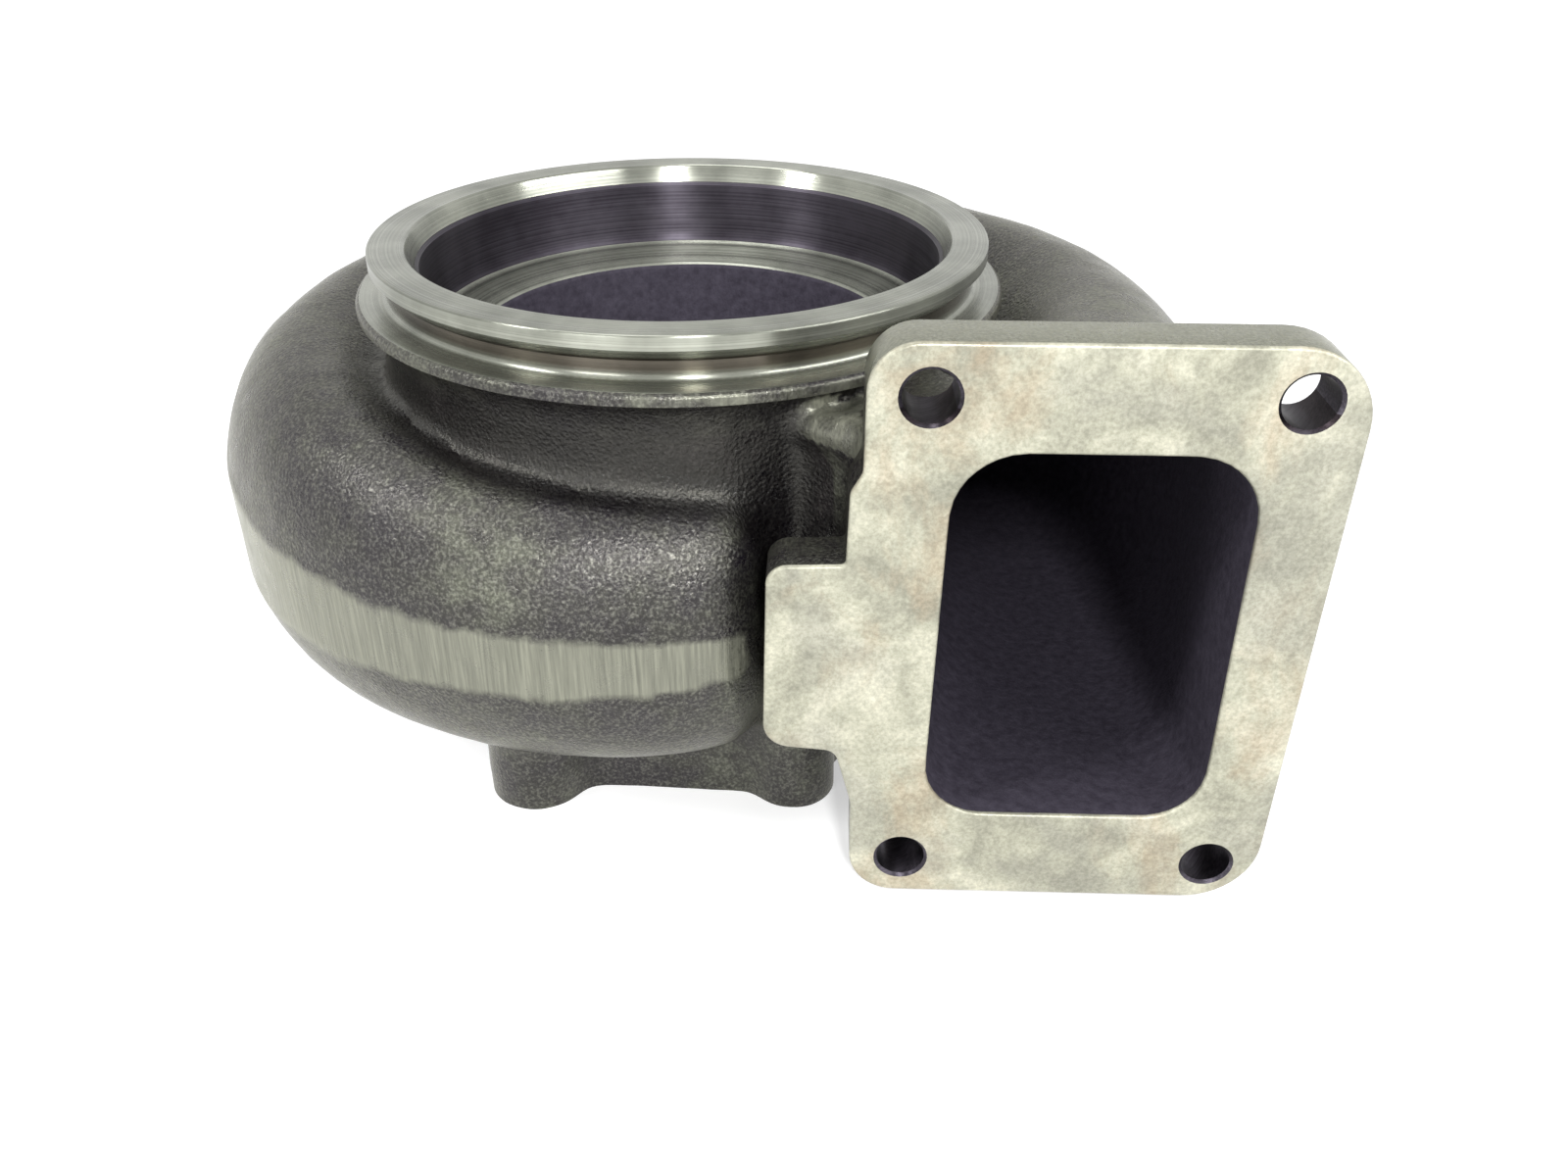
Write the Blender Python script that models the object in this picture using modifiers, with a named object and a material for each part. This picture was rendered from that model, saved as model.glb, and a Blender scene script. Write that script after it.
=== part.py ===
"""Turbocharger turbine housing: a single sand casting with turned and milled faces.

The turbine axis is vertical. The outlet, a V-band flange, faces +Z. The bearing housing
bolts to the bosses on the base, which faces -Z. The inlet flange faces -Y, and gas runs
from it along +Y, then round the axis through the scroll and inwards to the wheel.
Heights below are measured from the base face, in metres.
"""
import math

import bmesh
import bpy
from mathutils import Matrix, Vector

MM = 0.001

# Place of the turbine axis, which puts the part's origin at the middle of its own floor plan
AXIS_X = -8.0 * MM
AXIS_Y = -13.4 * MM

# Turned outlet end
FACE_HEIGHT = 129.0 * MM
VBAND_RADIUS = 76.0 * MM
VBAND_INNER_RADIUS = 67.2 * MM
RIM_HEIGHT = 3.6 * MM
NECK_GROOVE_RADIUS = 72.6 * MM
GROOVE_TOP_DEPTH = 6.4 * MM
GROOVE_BOTTOM_DEPTH = 10.9 * MM
GROOVE_FILLET = 1.4 * MM
STEP_RADIUS = 80.2 * MM
STEP_EDGE_DEPTH = 13.8 * MM
STEP_BREAK = 0.7 * MM

# Cast neck and core below the outlet
NECK_RADIUS = 74.0 * MM
NECK_WAIST_DEPTH = 28.0 * MM
NECK_STEPS = 3
CORE_RADIUS = 74.5 * MM
CORE_TOP_DEPTH = 56.0 * MM
CORE_BOTTOM_HEIGHT = 30.0 * MM

# Six-sided base plate and the bosses at its corners, which carry the bearing housing
BASE_ROOT_RADIUS = 56.0 * MM
BASE_ROOT_HEIGHT = 22.0 * MM
BASE_PLATE_HALF_WIDTH = 61.0 * MM
BASE_PLATE_TOP_HEIGHT = 29.0 * MM
HOLE_CIRCLE_RADIUS = 65.5 * MM
FIRST_HOLE_DEGREES = -122.0
BOSS_TOP_HEIGHT = 37.5 * MM
BOSS_SIDES = 24
# Each boss as cast: middle's distance from the axis, and radius, in millimetres
BOSSES_MM = [(68.2, 13.0), (64.2, 11.2), (66.0, 12.2), (66.0, 12.2), (66.0, 12.2), (67.0, 12.4)]
TAPPED_HOLE_RADIUS = 4.25 * MM
TAPPED_HOLE_DEPTH = 22.0 * MM
TAPPED_HOLE_SIDES = 12
# How far each of these is drawn below the base face, before the base is faced off
ROOT_EXTRA = 2.7 * MM
BASE_PLATE_EXTRA = 5.4 * MM
BOSS_EXTRA = 9.0 * MM
HOLE_EXTRA = 9.0 * MM

# Turned bore, from the outlet face down to the register for the bearing housing
LEAD_IN_RADIUS = 65.2 * MM
LEAD_IN_DEPTH = 4.4 * MM
LEAD_IN_FADE = 1.0 * MM
RECESS_RADIUS = 64.4 * MM
RECESS_CORNER = 3.4 * MM
RECESS_CORNER_STEPS = 2
LEDGE_OUTER_DEPTH = 22.2 * MM
LEDGE_INNER_RADIUS = 53.2 * MM
LEDGE_INNER_DEPTH = 25.1 * MM
LEDGE_BREAK = (0.6 * MM, 0.8 * MM)
THROAT_RADIUS = 46.0 * MM
THROAT_TOP_HEIGHT = 70.0 * MM
THROAT_BOTTOM_HEIGHT = 60.0 * MM
SHROUD_RADIUS = 52.0 * MM
# Middle point of the shroud's curve: shares of the way out and down
SHROUD_BEND = (0.3, 0.6)
NOZZLE_TOP_HEIGHT = 39.0 * MM
NOZZLE_BOTTOM_HEIGHT = 25.0 * MM
NOZZLE_RADIUS = 64.0 * MM
REGISTER_RADIUS = 48.0 * MM
REGISTER_BREAK = 1.2 * MM
# How far the bore's cutting shape goes past the outlet face and the base face
BORE_PAST_OUTLET = 8.0 * MM
BORE_PAST_BASE = 9.0 * MM

# Inlet flange, with its tab; outline points are (across, up, corner radius) from its centre
FLANGE_CENTRE_X = 91.0 * MM
FLANGE_CENTRE_HEIGHT = 68.3 * MM
FLANGE_FACE_REACH = 96.7 * MM
FLANGE_THICKNESS = 12.9 * MM
FLANGE_OUTLINE_MM = [
    (-47.2, 67.9, 10.0), (-47.2, 41.1, 3.6), (-49.6, 36.9, 3.6), (-50.0, 20.6, 1.2),
    (-66.1, 20.0, 4.6), (-66.9, -25.4, 6.0), (-51.1, -26.8, 3.4), (-47.2, -41.4, 3.6),
    (-46.8, -67.5, 10.7), (46.8, -67.5, 16.0), (47.2, 67.9, 16.0),
]
OPENING_OUTLINE_MM = [
    (-29.8, 45.7, 14.5), (-31.0, -43.6, 13.0), (31.2, -43.6, 13.0), (30.0, 45.7, 14.5),
]
BOLT_SPACING_ACROSS = 70.3 * MM
BOLT_SPACING_UP = 114.1 * MM
BOLT_HOLE_RADIUS = 5.5 * MM
BOLT_HOLE_SIDES = 20

# Rib that ties the tab to the casting: (across from the axis, height) ranges and reach
RIB_ACROSS = (33.0 * MM, 50.0 * MM)
RIB_HEIGHTS = (46.5 * MM, 81.0 * MM)
RIB_REACH = (62.0 * MM, 90.0 * MM)
RIB_ROUND = 5.0 * MM
RIB_ROUND_STEPS = 2

# Shoulder that fills the corner between neck and duct, in millimetres:
# reach from the axis, left side's distance from it, height of the left edge
SHOULDER_STATIONS = [(58, 18, 103), (67, 29.5, 106), (72, 36, 109), (78, 42, 113), (88, 44.5, 116)]
SHOULDER_RIGHT = 62
SHOULDER_TOP = 118.5
SHOULDER_BOTTOM = 50
# Rounded edge of the shoulder, as points (across, up) from its left top corner
SHOULDER_EDGE = [(0, -3), (1.5, 0), (5, 1.5)]

# Scroll: how its section changes round the axis, in degrees and millimetres
# angle, outer radius, crown height, underside height, belt height, half of belt, valley drop
SCROLL_STATIONS = [
    (0, 137.0, 119.5, 16.5, 68.0, 17.0, 19.0),
    (60, 126.5, 118.0, 14.0, 64.0, 17.0, 18.0),
    (120, 125.0, 115.0, 13.5, 61.0, 16.5, 14.0),
    (180, 123.5, 108.5, 15.0, 61.5, 15.0, 10.5),
    (210, 113.8, 104.0, 21.0, 60.5, 12.0, 8.0),
    (240, 102.0, 95.5, 24.0, 59.0, 8.5, 3.0),
    (270, 92.5, 92.0, 25.0, 58.5, 7.0, 1.5),
    (281, 88.5, 91.0, 26.0, 59.5, 6.5, 1.0),
    (289, 78.0, 89.5, 27.0, 60.5, 5.5, 1.0),
    (302, 72.5, 88.0, 28.5, 61.0, 4.5, 1.0),
    (315, 69.5, 84.0, 32.0, 61.0, 3.0, 1.0),
]
SCROLL_STEP_DEGREES = 10.5
SCROLL_CORE_RADIUS = 49.0 * MM
CROWN_SHARE = 0.39
VALLEY_RADIUS = 73.0 * MM
INNER_RADIUS = 56.0 * MM
INNER_CORNER = 6.0 * MM
LEAST_VALLEY_GAP = 2.0 * MM
# Points along each part of the scroll's outer section
CROWN_STEPS = 7
VALLEY_STEPS = 4
INNER_CORNER_STEPS = 2
UNDERSIDE_STEPS = 6

# Duct between the scroll and the inlet flange, as the section that it ends in
DUCT_SIDES_X = (44.5 * MM, 130.0 * MM)
DUCT_HEIGHTS = (16.5 * MM, 121.0 * MM)
DUCT_CORNER = 14.0 * MM
DUCT_TOP_FALL = 1.5 * MM
# The duct's inner side is reached this many times sooner than its other sides
DUCT_INNER_PACE = 1.6
DUCT_STEPS = 5
DUCT_SQUARENESS = 3.6
SCROLL_SQUARENESS = 2.05

# Gas passage: cast wall left between it and the outside
WALL = 7.2 * MM
WALL_AT_TONGUE = 11.0 * MM
PASSAGE_INNER_RADIUS = 60.3 * MM
PASSAGE_END_DEGREES = 294
PASSAGE_EXTRA_SQUARENESS = 0.9
# Height of the passage's inner top corner at the inlet end of the duct, as a share of the full height
PASSAGE_SHOULDER = 0.72
PASSAGE_STEPS = 5
# Distance from the flange's face at which the passage gives way to the opening
PASSAGE_STOP_DEPTH = 7.74 * MM

SCREW_STEPS = 72
CORNER_STEPS = 6
SHARP_EDGE_DEGREES = 32
# The block that faces the base off: half its width, and its depth
FACING_BLOCK = (400.0 * MM, 50.0 * MM)


def smooth_between(stations, column, angle):
    """Value of one column of the stations at an angle, on a curve through them all."""
    last = len(stations) - 1
    spot = 0
    while spot < last - 1 and angle > stations[spot + 1][0]:
        spot += 1
    x0, x1 = stations[spot][0], stations[spot + 1][0]
    y0, y1 = stations[spot][column], stations[spot + 1][column]

    def slope(i):
        low, high = max(i - 1, 0), min(i + 1, last)
        rise = stations[high][column] - stations[low][column]
        return rise / (stations[high][0] - stations[low][0])

    t = (angle - x0) / (x1 - x0)
    span = x1 - x0
    return ((2 * t**3 - 3 * t**2 + 1) * y0 + (t**3 - 2 * t**2 + t) * span * slope(spot)
            + (-2 * t**3 + 3 * t**2) * y1 + (t**3 - t**2) * span * slope(spot + 1))


def mix(a, b, share):
    return a + (b - a) * share


def scroll_values(angle):
    """Named sizes of the outer section at an angle round the axis, in metres."""
    names = ("outer", "crown", "under", "belt", "belt_half", "drop")
    at = {name: smooth_between(SCROLL_STATIONS, i + 1, angle) * MM for i, name in enumerate(names)}
    at["half_width"] = CROWN_SHARE * (at["outer"] - SCROLL_CORE_RADIUS)
    at["valley"] = min(VALLEY_RADIUS, at["outer"] - at["half_width"] - LEAST_VALLEY_GAP)
    at["valley_height"] = at["crown"] - at["drop"]
    at["inner"] = INNER_RADIUS
    at["corner"] = INNER_CORNER
    at["squareness"] = SCROLL_SQUARENESS
    return at


def duct_values(share):
    """Sizes of the duct's outer section; share 0 is the scroll's start and 1 the flange."""
    at = scroll_values(0)
    ease = share * share * (3 - 2 * share)
    at["outer"] = mix(at["outer"], DUCT_SIDES_X[1], ease)
    at["crown"] = mix(at["crown"], DUCT_HEIGHTS[1], ease)
    at["under"] = mix(at["under"], DUCT_HEIGHTS[0], ease)
    at["half_width"] = mix(at["half_width"], 0.5 * (DUCT_SIDES_X[1] - DUCT_SIDES_X[0]), ease)
    at["valley"] = mix(at["valley"], DUCT_SIDES_X[0] + DUCT_CORNER, ease)
    at["valley_height"] = mix(at["valley_height"], DUCT_HEIGHTS[1] - DUCT_TOP_FALL, ease)
    at["inner"] = mix(at["inner"], DUCT_SIDES_X[0], min(1.0, DUCT_INNER_PACE * ease))
    at["corner"] = mix(at["corner"], DUCT_CORNER, ease)
    at["squareness"] = mix(SCROLL_SQUARENESS, DUCT_SQUARENESS, ease)
    return at


def quarter(start_angle, end_angle, steps, power):
    """Cosine and sine pairs along a superellipse quarter."""
    pairs = []
    for i in range(steps + 1):
        turn = mix(start_angle, end_angle, i / steps)
        pairs.append((max(math.cos(turn), 0.0) ** (2 / power), max(math.sin(turn), 0.0) ** (2 / power)))
    return pairs


def outer_section(at):
    """Closed outline of the casting's wall, as (across, height), from the belt over the crown."""
    middle = at["outer"] - at["half_width"]
    rise = at["crown"] - at["belt"]
    fall = at["belt"] - at["under"]
    power = at["squareness"]
    belt_turn = math.asin(min(0.95, at["belt_half"] / rise) ** (power / 2))
    points = []
    for c, s in quarter(belt_turn, math.pi / 2, CROWN_STEPS, power):
        points.append((middle + at["half_width"] * c, at["belt"] + rise * s))
    for i in range(1, VALLEY_STEPS + 1):
        share = i / VALLEY_STEPS
        fall_share = 0.5 - 0.5 * math.cos(math.pi * share)
        points.append((mix(middle, at["valley"], share), mix(at["crown"], at["valley_height"], fall_share)))
    width = at["valley"] - at["inner"]
    for c, s in quarter(math.pi / 2, 0, INNER_CORNER_STEPS, 2)[1:]:
        points.append((at["valley"] - width * c, at["valley_height"] - at["corner"] * (1 - s)))
    for c, s in quarter(0, math.pi / 2, INNER_CORNER_STEPS, 2):
        points.append((at["inner"] + at["corner"] * (1 - c), at["under"] + at["corner"] * (1 - s)))
    for c, s in quarter(math.pi / 2, belt_turn, UNDERSIDE_STEPS, power):
        points.append((middle + at["half_width"] * c, at["belt"] - fall * s))
    return points


def passage_section(at, wall):
    """Closed outline of the gas passage inside an outer section."""
    right = at["outer"] - wall
    left = PASSAGE_INNER_RADIUS
    top = at["crown"] - wall
    bottom = at["under"] + wall
    middle = max(at["outer"] - at["half_width"], 0.5 * (left + right))
    centre = 0.5 * (top + bottom)
    half = 0.5 * (top - bottom)
    power = at["squareness"] + PASSAGE_EXTRA_SQUARENESS
    points = []
    for c, s in quarter(0, math.pi / 2, PASSAGE_STEPS, power):
        points.append((middle + (right - middle) * c, centre + half * s))
    for c, s in quarter(math.pi / 2, 0, PASSAGE_STEPS, power)[1:]:
        points.append((middle - (middle - left) * c, centre + at["shoulder"] * half * s))
    for c, s in quarter(0, math.pi / 2, PASSAGE_STEPS, power)[1:]:
        points.append((middle - (middle - left) * c, centre - half * s))
    for c, s in quarter(math.pi / 2, 0, PASSAGE_STEPS, power)[1:-1]:
        points.append((middle + (right - middle) * c, centre - half * s))
    return points


def place_on_axis(across, height, angle, reach=0.0):
    """World point of a section point that is turned round the axis, or slid along the duct."""
    x = AXIS_X + across * math.cos(angle)
    y = AXIS_Y + across * math.sin(angle) - reach
    return Vector((x, y, height))


def loft(name, rings, collection):
    """Closed solid through rings that all have the same number of points."""
    bm = bmesh.new()
    loops = [[bm.verts.new(point) for point in ring] for ring in rings]
    for ring, following in zip(loops, loops[1:]):
        count = len(ring)
        for i in range(count):
            j = (i + 1) % count
            bm.faces.new((ring[i], ring[j], following[j], following[i]))
    bm.faces.new(loops[0])
    bm.faces.new(loops[-1])
    bmesh.ops.recalc_face_normals(bm, faces=bm.faces)
    return object_from_bmesh(name, bm, collection)


def object_from_bmesh(name, bm, collection):
    mesh = bpy.data.meshes.new(name)
    bm.to_mesh(mesh)
    bm.free()
    thing = bpy.data.objects.new(name, mesh)
    collection.objects.link(thing)
    return thing


def turned(name, profile, collection):
    """Solid of revolution about the turbine axis; the profile runs down its outer side."""
    bm = bmesh.new()
    points = [bm.verts.new((radius, 0, height)) for radius, height in profile]
    for a, b in zip(points, points[1:]):
        bm.edges.new((a, b))
    thing = object_from_bmesh(name, bm, collection)
    thing.location = (AXIS_X, AXIS_Y, 0)
    screw = thing.modifiers.new("turn", "SCREW")
    screw.axis = "Z"
    screw.steps = SCREW_STEPS
    screw.render_steps = SCREW_STEPS
    screw.use_merge_vertices = True
    screw.merge_threshold = 0.05 * MM
    return thing


def rounded_outline(corners_mm):
    """Points of a closed outline whose corners are arcs of the radii given."""
    outline = []
    count = len(corners_mm)
    for i, (x, y, radius) in enumerate(corners_mm):
        here = Vector((x, y))
        back = (Vector(corners_mm[i - 1][:2]) - here).normalized()
        ahead = (Vector(corners_mm[(i + 1) % count][:2]) - here).normalized()
        half_angle = 0.5 * back.angle(ahead)
        centre = here + (back + ahead).normalized() * (radius / math.sin(half_angle))
        start = here + back * (radius / math.tan(half_angle)) - centre
        end = here + ahead * (radius / math.tan(half_angle)) - centre
        sweep = start.angle_signed(end)
        steps = max(2, round(abs(sweep) / (math.pi / 2) * CORNER_STEPS))
        for k in range(steps + 1):
            outline.append(centre + Matrix.Rotation(-sweep * k / steps, 2) @ start)
    return [point * MM for point in outline]


def plate(name, outline, thickness, collection):
    """Flat plate standing in the XZ plane with its middle plane at y = 0."""
    curve = bpy.data.curves.new(name, "CURVE")
    curve.dimensions = "2D"
    curve.fill_mode = "BOTH"
    curve.extrude = 0.5 * thickness
    spline = curve.splines.new("POLY")
    spline.points.add(len(outline) - 1)
    for point, place in zip(spline.points, outline):
        point.co = (place.x, place.y, 0, 1)
    spline.use_cyclic_u = True
    drawn = bpy.data.objects.new(name + "_curve", curve)
    drawn.rotation_euler = (math.pi / 2, 0, 0)
    collection.objects.link(drawn)
    bpy.context.view_layer.update()
    graph = bpy.context.evaluated_depsgraph_get()
    mesh = bpy.data.meshes.new_from_object(drawn.evaluated_get(graph))
    bm = bmesh.new()
    bm.from_mesh(mesh)
    bmesh.ops.remove_doubles(bm, verts=bm.verts, dist=0.00001)
    bmesh.ops.recalc_face_normals(bm, faces=bm.faces)
    bm.to_mesh(mesh)
    bm.free()
    thing = bpy.data.objects.new(name, mesh)
    thing.matrix_world = drawn.matrix_world.copy()
    collection.objects.link(thing)
    bpy.data.objects.remove(drawn)
    return thing


def cylinder(name, radius, depth, sides, matrix, collection):
    bm = bmesh.new()
    bmesh.ops.create_cone(bm, cap_ends=True, segments=sides, radius1=radius, radius2=radius, depth=depth)
    bmesh.ops.transform(bm, matrix=matrix, verts=bm.verts)
    return object_from_bmesh(name, bm, collection)


def box(name, low, high, round_off, collection):
    bm = bmesh.new()
    bmesh.ops.create_cube(bm, size=1)
    size = Vector(high) - Vector(low)
    bmesh.ops.scale(bm, vec=size, verts=bm.verts)
    bmesh.ops.translate(bm, vec=(Vector(high) + Vector(low)) / 2, verts=bm.verts)
    thing = object_from_bmesh(name, bm, collection)
    if round_off:
        bevel = thing.modifiers.new("round", "BEVEL")
        bevel.width = round_off
        bevel.segments = RIB_ROUND_STEPS
    return thing


def join_to(body, tool, operation):
    """Adds the tool's shape to the body, or cuts it away."""
    tool.hide_render = True
    tool.display_type = "WIRE"
    boolean = body.modifiers.new(tool.name, "BOOLEAN")
    boolean.operation = operation
    boolean.solver = "EXACT"
    boolean.object = tool


def outer_turned_profile():
    """Outlet flange, groove, step, cast neck, core and base ring, from the top down."""
    top = FACE_HEIGHT
    profile = [
        (0, top),
        (VBAND_RADIUS, top),
        (VBAND_RADIUS, top - RIM_HEIGHT),
        (NECK_GROOVE_RADIUS, top - GROOVE_TOP_DEPTH),
        (NECK_GROOVE_RADIUS, top - GROOVE_BOTTOM_DEPTH + GROOVE_FILLET),
        (NECK_GROOVE_RADIUS + GROOVE_FILLET, top - GROOVE_BOTTOM_DEPTH),
        (STEP_RADIUS - STEP_BREAK, top - GROOVE_BOTTOM_DEPTH),
        (STEP_RADIUS, top - GROOVE_BOTTOM_DEPTH - STEP_BREAK),
        (STEP_RADIUS, top - STEP_EDGE_DEPTH),
    ]
    for i in range(1, NECK_STEPS + 1):
        turn = 0.5 * math.pi * i / NECK_STEPS
        radius = mix(STEP_RADIUS, NECK_RADIUS, math.sin(turn))
        profile.append((radius, top - mix(NECK_WAIST_DEPTH, STEP_EDGE_DEPTH, math.cos(turn))))
    profile += [
        (CORE_RADIUS, top - CORE_TOP_DEPTH),
        (CORE_RADIUS, CORE_BOTTOM_HEIGHT),
        (BASE_ROOT_RADIUS, BASE_ROOT_HEIGHT),
        (BASE_ROOT_RADIUS, -ROOT_EXTRA),
        (0, -ROOT_EXTRA),
    ]
    return profile


def bore_profile():
    """Everything turned out of the middle, from above the outlet to below the base."""
    top = FACE_HEIGHT
    profile = [
        (0, top + BORE_PAST_OUTLET),
        (VBAND_INNER_RADIUS, top + BORE_PAST_OUTLET),
        (VBAND_INNER_RADIUS, top),
        (LEAD_IN_RADIUS, top - LEAD_IN_DEPTH),
        (RECESS_RADIUS, top - LEAD_IN_DEPTH - LEAD_IN_FADE),
    ]
    for i in range(RECESS_CORNER_STEPS + 1):
        turn = 0.5 * math.pi * i / RECESS_CORNER_STEPS
        radius = RECESS_RADIUS - RECESS_CORNER * (1 - math.cos(turn))
        profile.append((radius, top - LEDGE_OUTER_DEPTH + RECESS_CORNER * (1 - math.sin(turn))))
    profile += [
        (LEDGE_INNER_RADIUS, top - LEDGE_INNER_DEPTH),
        (LEDGE_INNER_RADIUS - LEDGE_BREAK[0], top - LEDGE_INNER_DEPTH - LEDGE_BREAK[1]),
        (THROAT_RADIUS, THROAT_TOP_HEIGHT),
        (THROAT_RADIUS, THROAT_BOTTOM_HEIGHT),
        (mix(THROAT_RADIUS, SHROUD_RADIUS, SHROUD_BEND[0]),
         mix(THROAT_BOTTOM_HEIGHT, NOZZLE_TOP_HEIGHT, SHROUD_BEND[1])),
        (SHROUD_RADIUS, NOZZLE_TOP_HEIGHT),
        (NOZZLE_RADIUS, NOZZLE_TOP_HEIGHT),
        (NOZZLE_RADIUS, NOZZLE_BOTTOM_HEIGHT),
        (REGISTER_RADIUS, NOZZLE_BOTTOM_HEIGHT),
        (REGISTER_RADIUS, REGISTER_BREAK),
        (REGISTER_RADIUS + REGISTER_BREAK, 0),
        (REGISTER_RADIUS + REGISTER_BREAK, -BORE_PAST_BASE),
        (0, -BORE_PAST_BASE),
    ]
    return profile


def scroll_angles(last):
    count = math.ceil(last / SCROLL_STEP_DEGREES)
    return [last * (1 - i / count) for i in range(count)]


def scroll_outside(collection):
    """Outside of the scroll, from the tongue round to where the duct starts."""
    rings = []
    for angle in scroll_angles(SCROLL_STATIONS[-1][0]) + [0]:
        section = outer_section(scroll_values(angle))
        rings.append([place_on_axis(a, h, math.radians(angle)) for a, h in section])
    return loft("scroll_outside", rings, collection)


def duct_outside(collection):
    """Outside of the straight duct, from the scroll's start into the inlet flange."""
    rings = []
    end = FLANGE_FACE_REACH - 0.5 * FLANGE_THICKNESS
    for i in range(DUCT_STEPS + 1):
        share = i / DUCT_STEPS
        section = outer_section(duct_values(share))
        rings.append([place_on_axis(a, h, 0, share * end) for a, h in section])
    return loft("duct_outside", rings, collection)


def gas_passage(collection):
    """Hollow of the scroll and duct, which ends inside the flange's opening."""
    rings = []
    for angle in scroll_angles(PASSAGE_END_DEGREES):
        at = scroll_values(angle)
        share = angle / PASSAGE_END_DEGREES
        at["shoulder"] = mix(PASSAGE_SHOULDER, 1.0, share)
        wall = mix(WALL, WALL_AT_TONGUE, share**3)
        section = passage_section(at, wall)
        rings.append([place_on_axis(a, h, math.radians(angle)) for a, h in section])
    end = FLANGE_FACE_REACH - PASSAGE_STOP_DEPTH
    for i in range(DUCT_STEPS + 1):
        share = i / DUCT_STEPS
        at = duct_values(share)
        at["shoulder"] = mix(PASSAGE_SHOULDER, 1.0, share)
        section = passage_section(at, WALL)
        rings.append([place_on_axis(a, h, 0, share * end) for a, h in section])
    return loft("gas_passage", rings, collection)


def inlet_flange(collection):
    flange = plate("inlet_flange", rounded_outline(FLANGE_OUTLINE_MM), FLANGE_THICKNESS, collection)
    middle = FLANGE_FACE_REACH - 0.5 * FLANGE_THICKNESS
    flange.location = (AXIS_X + FLANGE_CENTRE_X, AXIS_Y - middle, FLANGE_CENTRE_HEIGHT)
    return flange


def inlet_opening(collection):
    depth = 2 * FLANGE_THICKNESS
    opening = plate("inlet_opening", rounded_outline(OPENING_OUTLINE_MM), depth, collection)
    opening.location = (AXIS_X + FLANGE_CENTRE_X, AXIS_Y - FLANGE_FACE_REACH, FLANGE_CENTRE_HEIGHT)
    return opening


def flange_holes(body, collection):
    depth = 4 * FLANGE_THICKNESS
    y = AXIS_Y - FLANGE_FACE_REACH + FLANGE_THICKNESS
    for side in (-1, 1):
        for level in (-1, 1):
            x = AXIS_X + FLANGE_CENTRE_X + side * 0.5 * BOLT_SPACING_ACROSS
            z = FLANGE_CENTRE_HEIGHT + level * 0.5 * BOLT_SPACING_UP
            turn = Matrix.Translation((x, y, z)) @ Matrix.Rotation(math.pi / 2, 4, "X")
            name = f"flange_hole_{side}_{level}"
            hole = cylinder(name, BOLT_HOLE_RADIUS, depth, BOLT_HOLE_SIDES, turn, collection)
            join_to(body, hole, "DIFFERENCE")


def hole_angle(i):
    return math.radians(FIRST_HOLE_DEGREES) + 2 * math.pi * i / len(BOSSES_MM)


def base_plate(collection):
    """Six-sided plate under the scroll, whose corners lie inside the bosses."""
    sides = len(BOSSES_MM)
    radius = BASE_PLATE_HALF_WIDTH / math.cos(math.pi / sides)
    depth = BASE_PLATE_TOP_HEIGHT + BASE_PLATE_EXTRA
    middle = Matrix.Translation((AXIS_X, AXIS_Y, BASE_PLATE_TOP_HEIGHT - 0.5 * depth))
    turn = Matrix.Rotation(hole_angle(0) - math.pi / 2, 4, "Z")
    return cylinder("base_plate", radius, depth, sides, middle @ turn, collection)


def base_bosses(body, collection):
    depth = BOSS_TOP_HEIGHT + BOSS_EXTRA
    for i, (distance, radius) in enumerate(BOSSES_MM):
        place = place_on_axis(distance * MM, BOSS_TOP_HEIGHT - 0.5 * depth, hole_angle(i))
        middle = Matrix.Translation(place)
        boss = cylinder(f"boss_{i}", radius * MM, depth, BOSS_SIDES, middle, collection)
        join_to(body, boss, "UNION")


def tapped_holes(body, collection):
    depth = TAPPED_HOLE_DEPTH + HOLE_EXTRA
    for i in range(len(BOSSES_MM)):
        place = place_on_axis(HOLE_CIRCLE_RADIUS, TAPPED_HOLE_DEPTH - 0.5 * depth, hole_angle(i))
        middle = Matrix.Translation(place)
        hole = cylinder(f"tapped_hole_{i}", TAPPED_HOLE_RADIUS, depth, TAPPED_HOLE_SIDES, middle, collection)
        join_to(body, hole, "DIFFERENCE")


def tab_rib(collection):
    low = (AXIS_X + RIB_ACROSS[0], AXIS_Y - RIB_REACH[1], RIB_HEIGHTS[0])
    high = (AXIS_X + RIB_ACROSS[1], AXIS_Y - RIB_REACH[0], RIB_HEIGHTS[1])
    return box("tab_rib", low, high, RIB_ROUND, collection)


def duct_shoulder(collection):
    """Concave corner of the casting between the neck and the duct's inner side."""
    rings = []
    for reach, left, edge in SHOULDER_STATIONS:
        outline = [(left, SHOULDER_BOTTOM)]
        outline += [(left + across, edge + up) for across, up in SHOULDER_EDGE]
        outline += [(SHOULDER_RIGHT, SHOULDER_TOP), (SHOULDER_RIGHT, SHOULDER_BOTTOM)]
        rings.append([place_on_axis(x * MM, z * MM, 0, reach * MM) for x, z in outline])
    return loft("duct_shoulder", rings, collection)


def base_facing(collection):
    half, depth = FACING_BLOCK
    return box("base_facing", (-half, -half, -depth), (half, half, 0), 0, collection)


def iron_material():
    material = bpy.data.materials.new("cast_iron")
    material.use_nodes = True
    shader = material.node_tree.nodes["Principled BSDF"]
    shader.inputs["Base Color"].default_value = (0.13, 0.13, 0.12, 1)
    shader.inputs["Roughness"].default_value = 0.55
    shader.inputs["Metallic"].default_value = 0.8
    return material


def finish_surface(body):
    """Shades the round faces smooth, with the edges sharp."""
    body.data.shade_smooth()
    body.data.set_sharp_from_angle(angle=math.radians(SHARP_EDGE_DEGREES))


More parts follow.
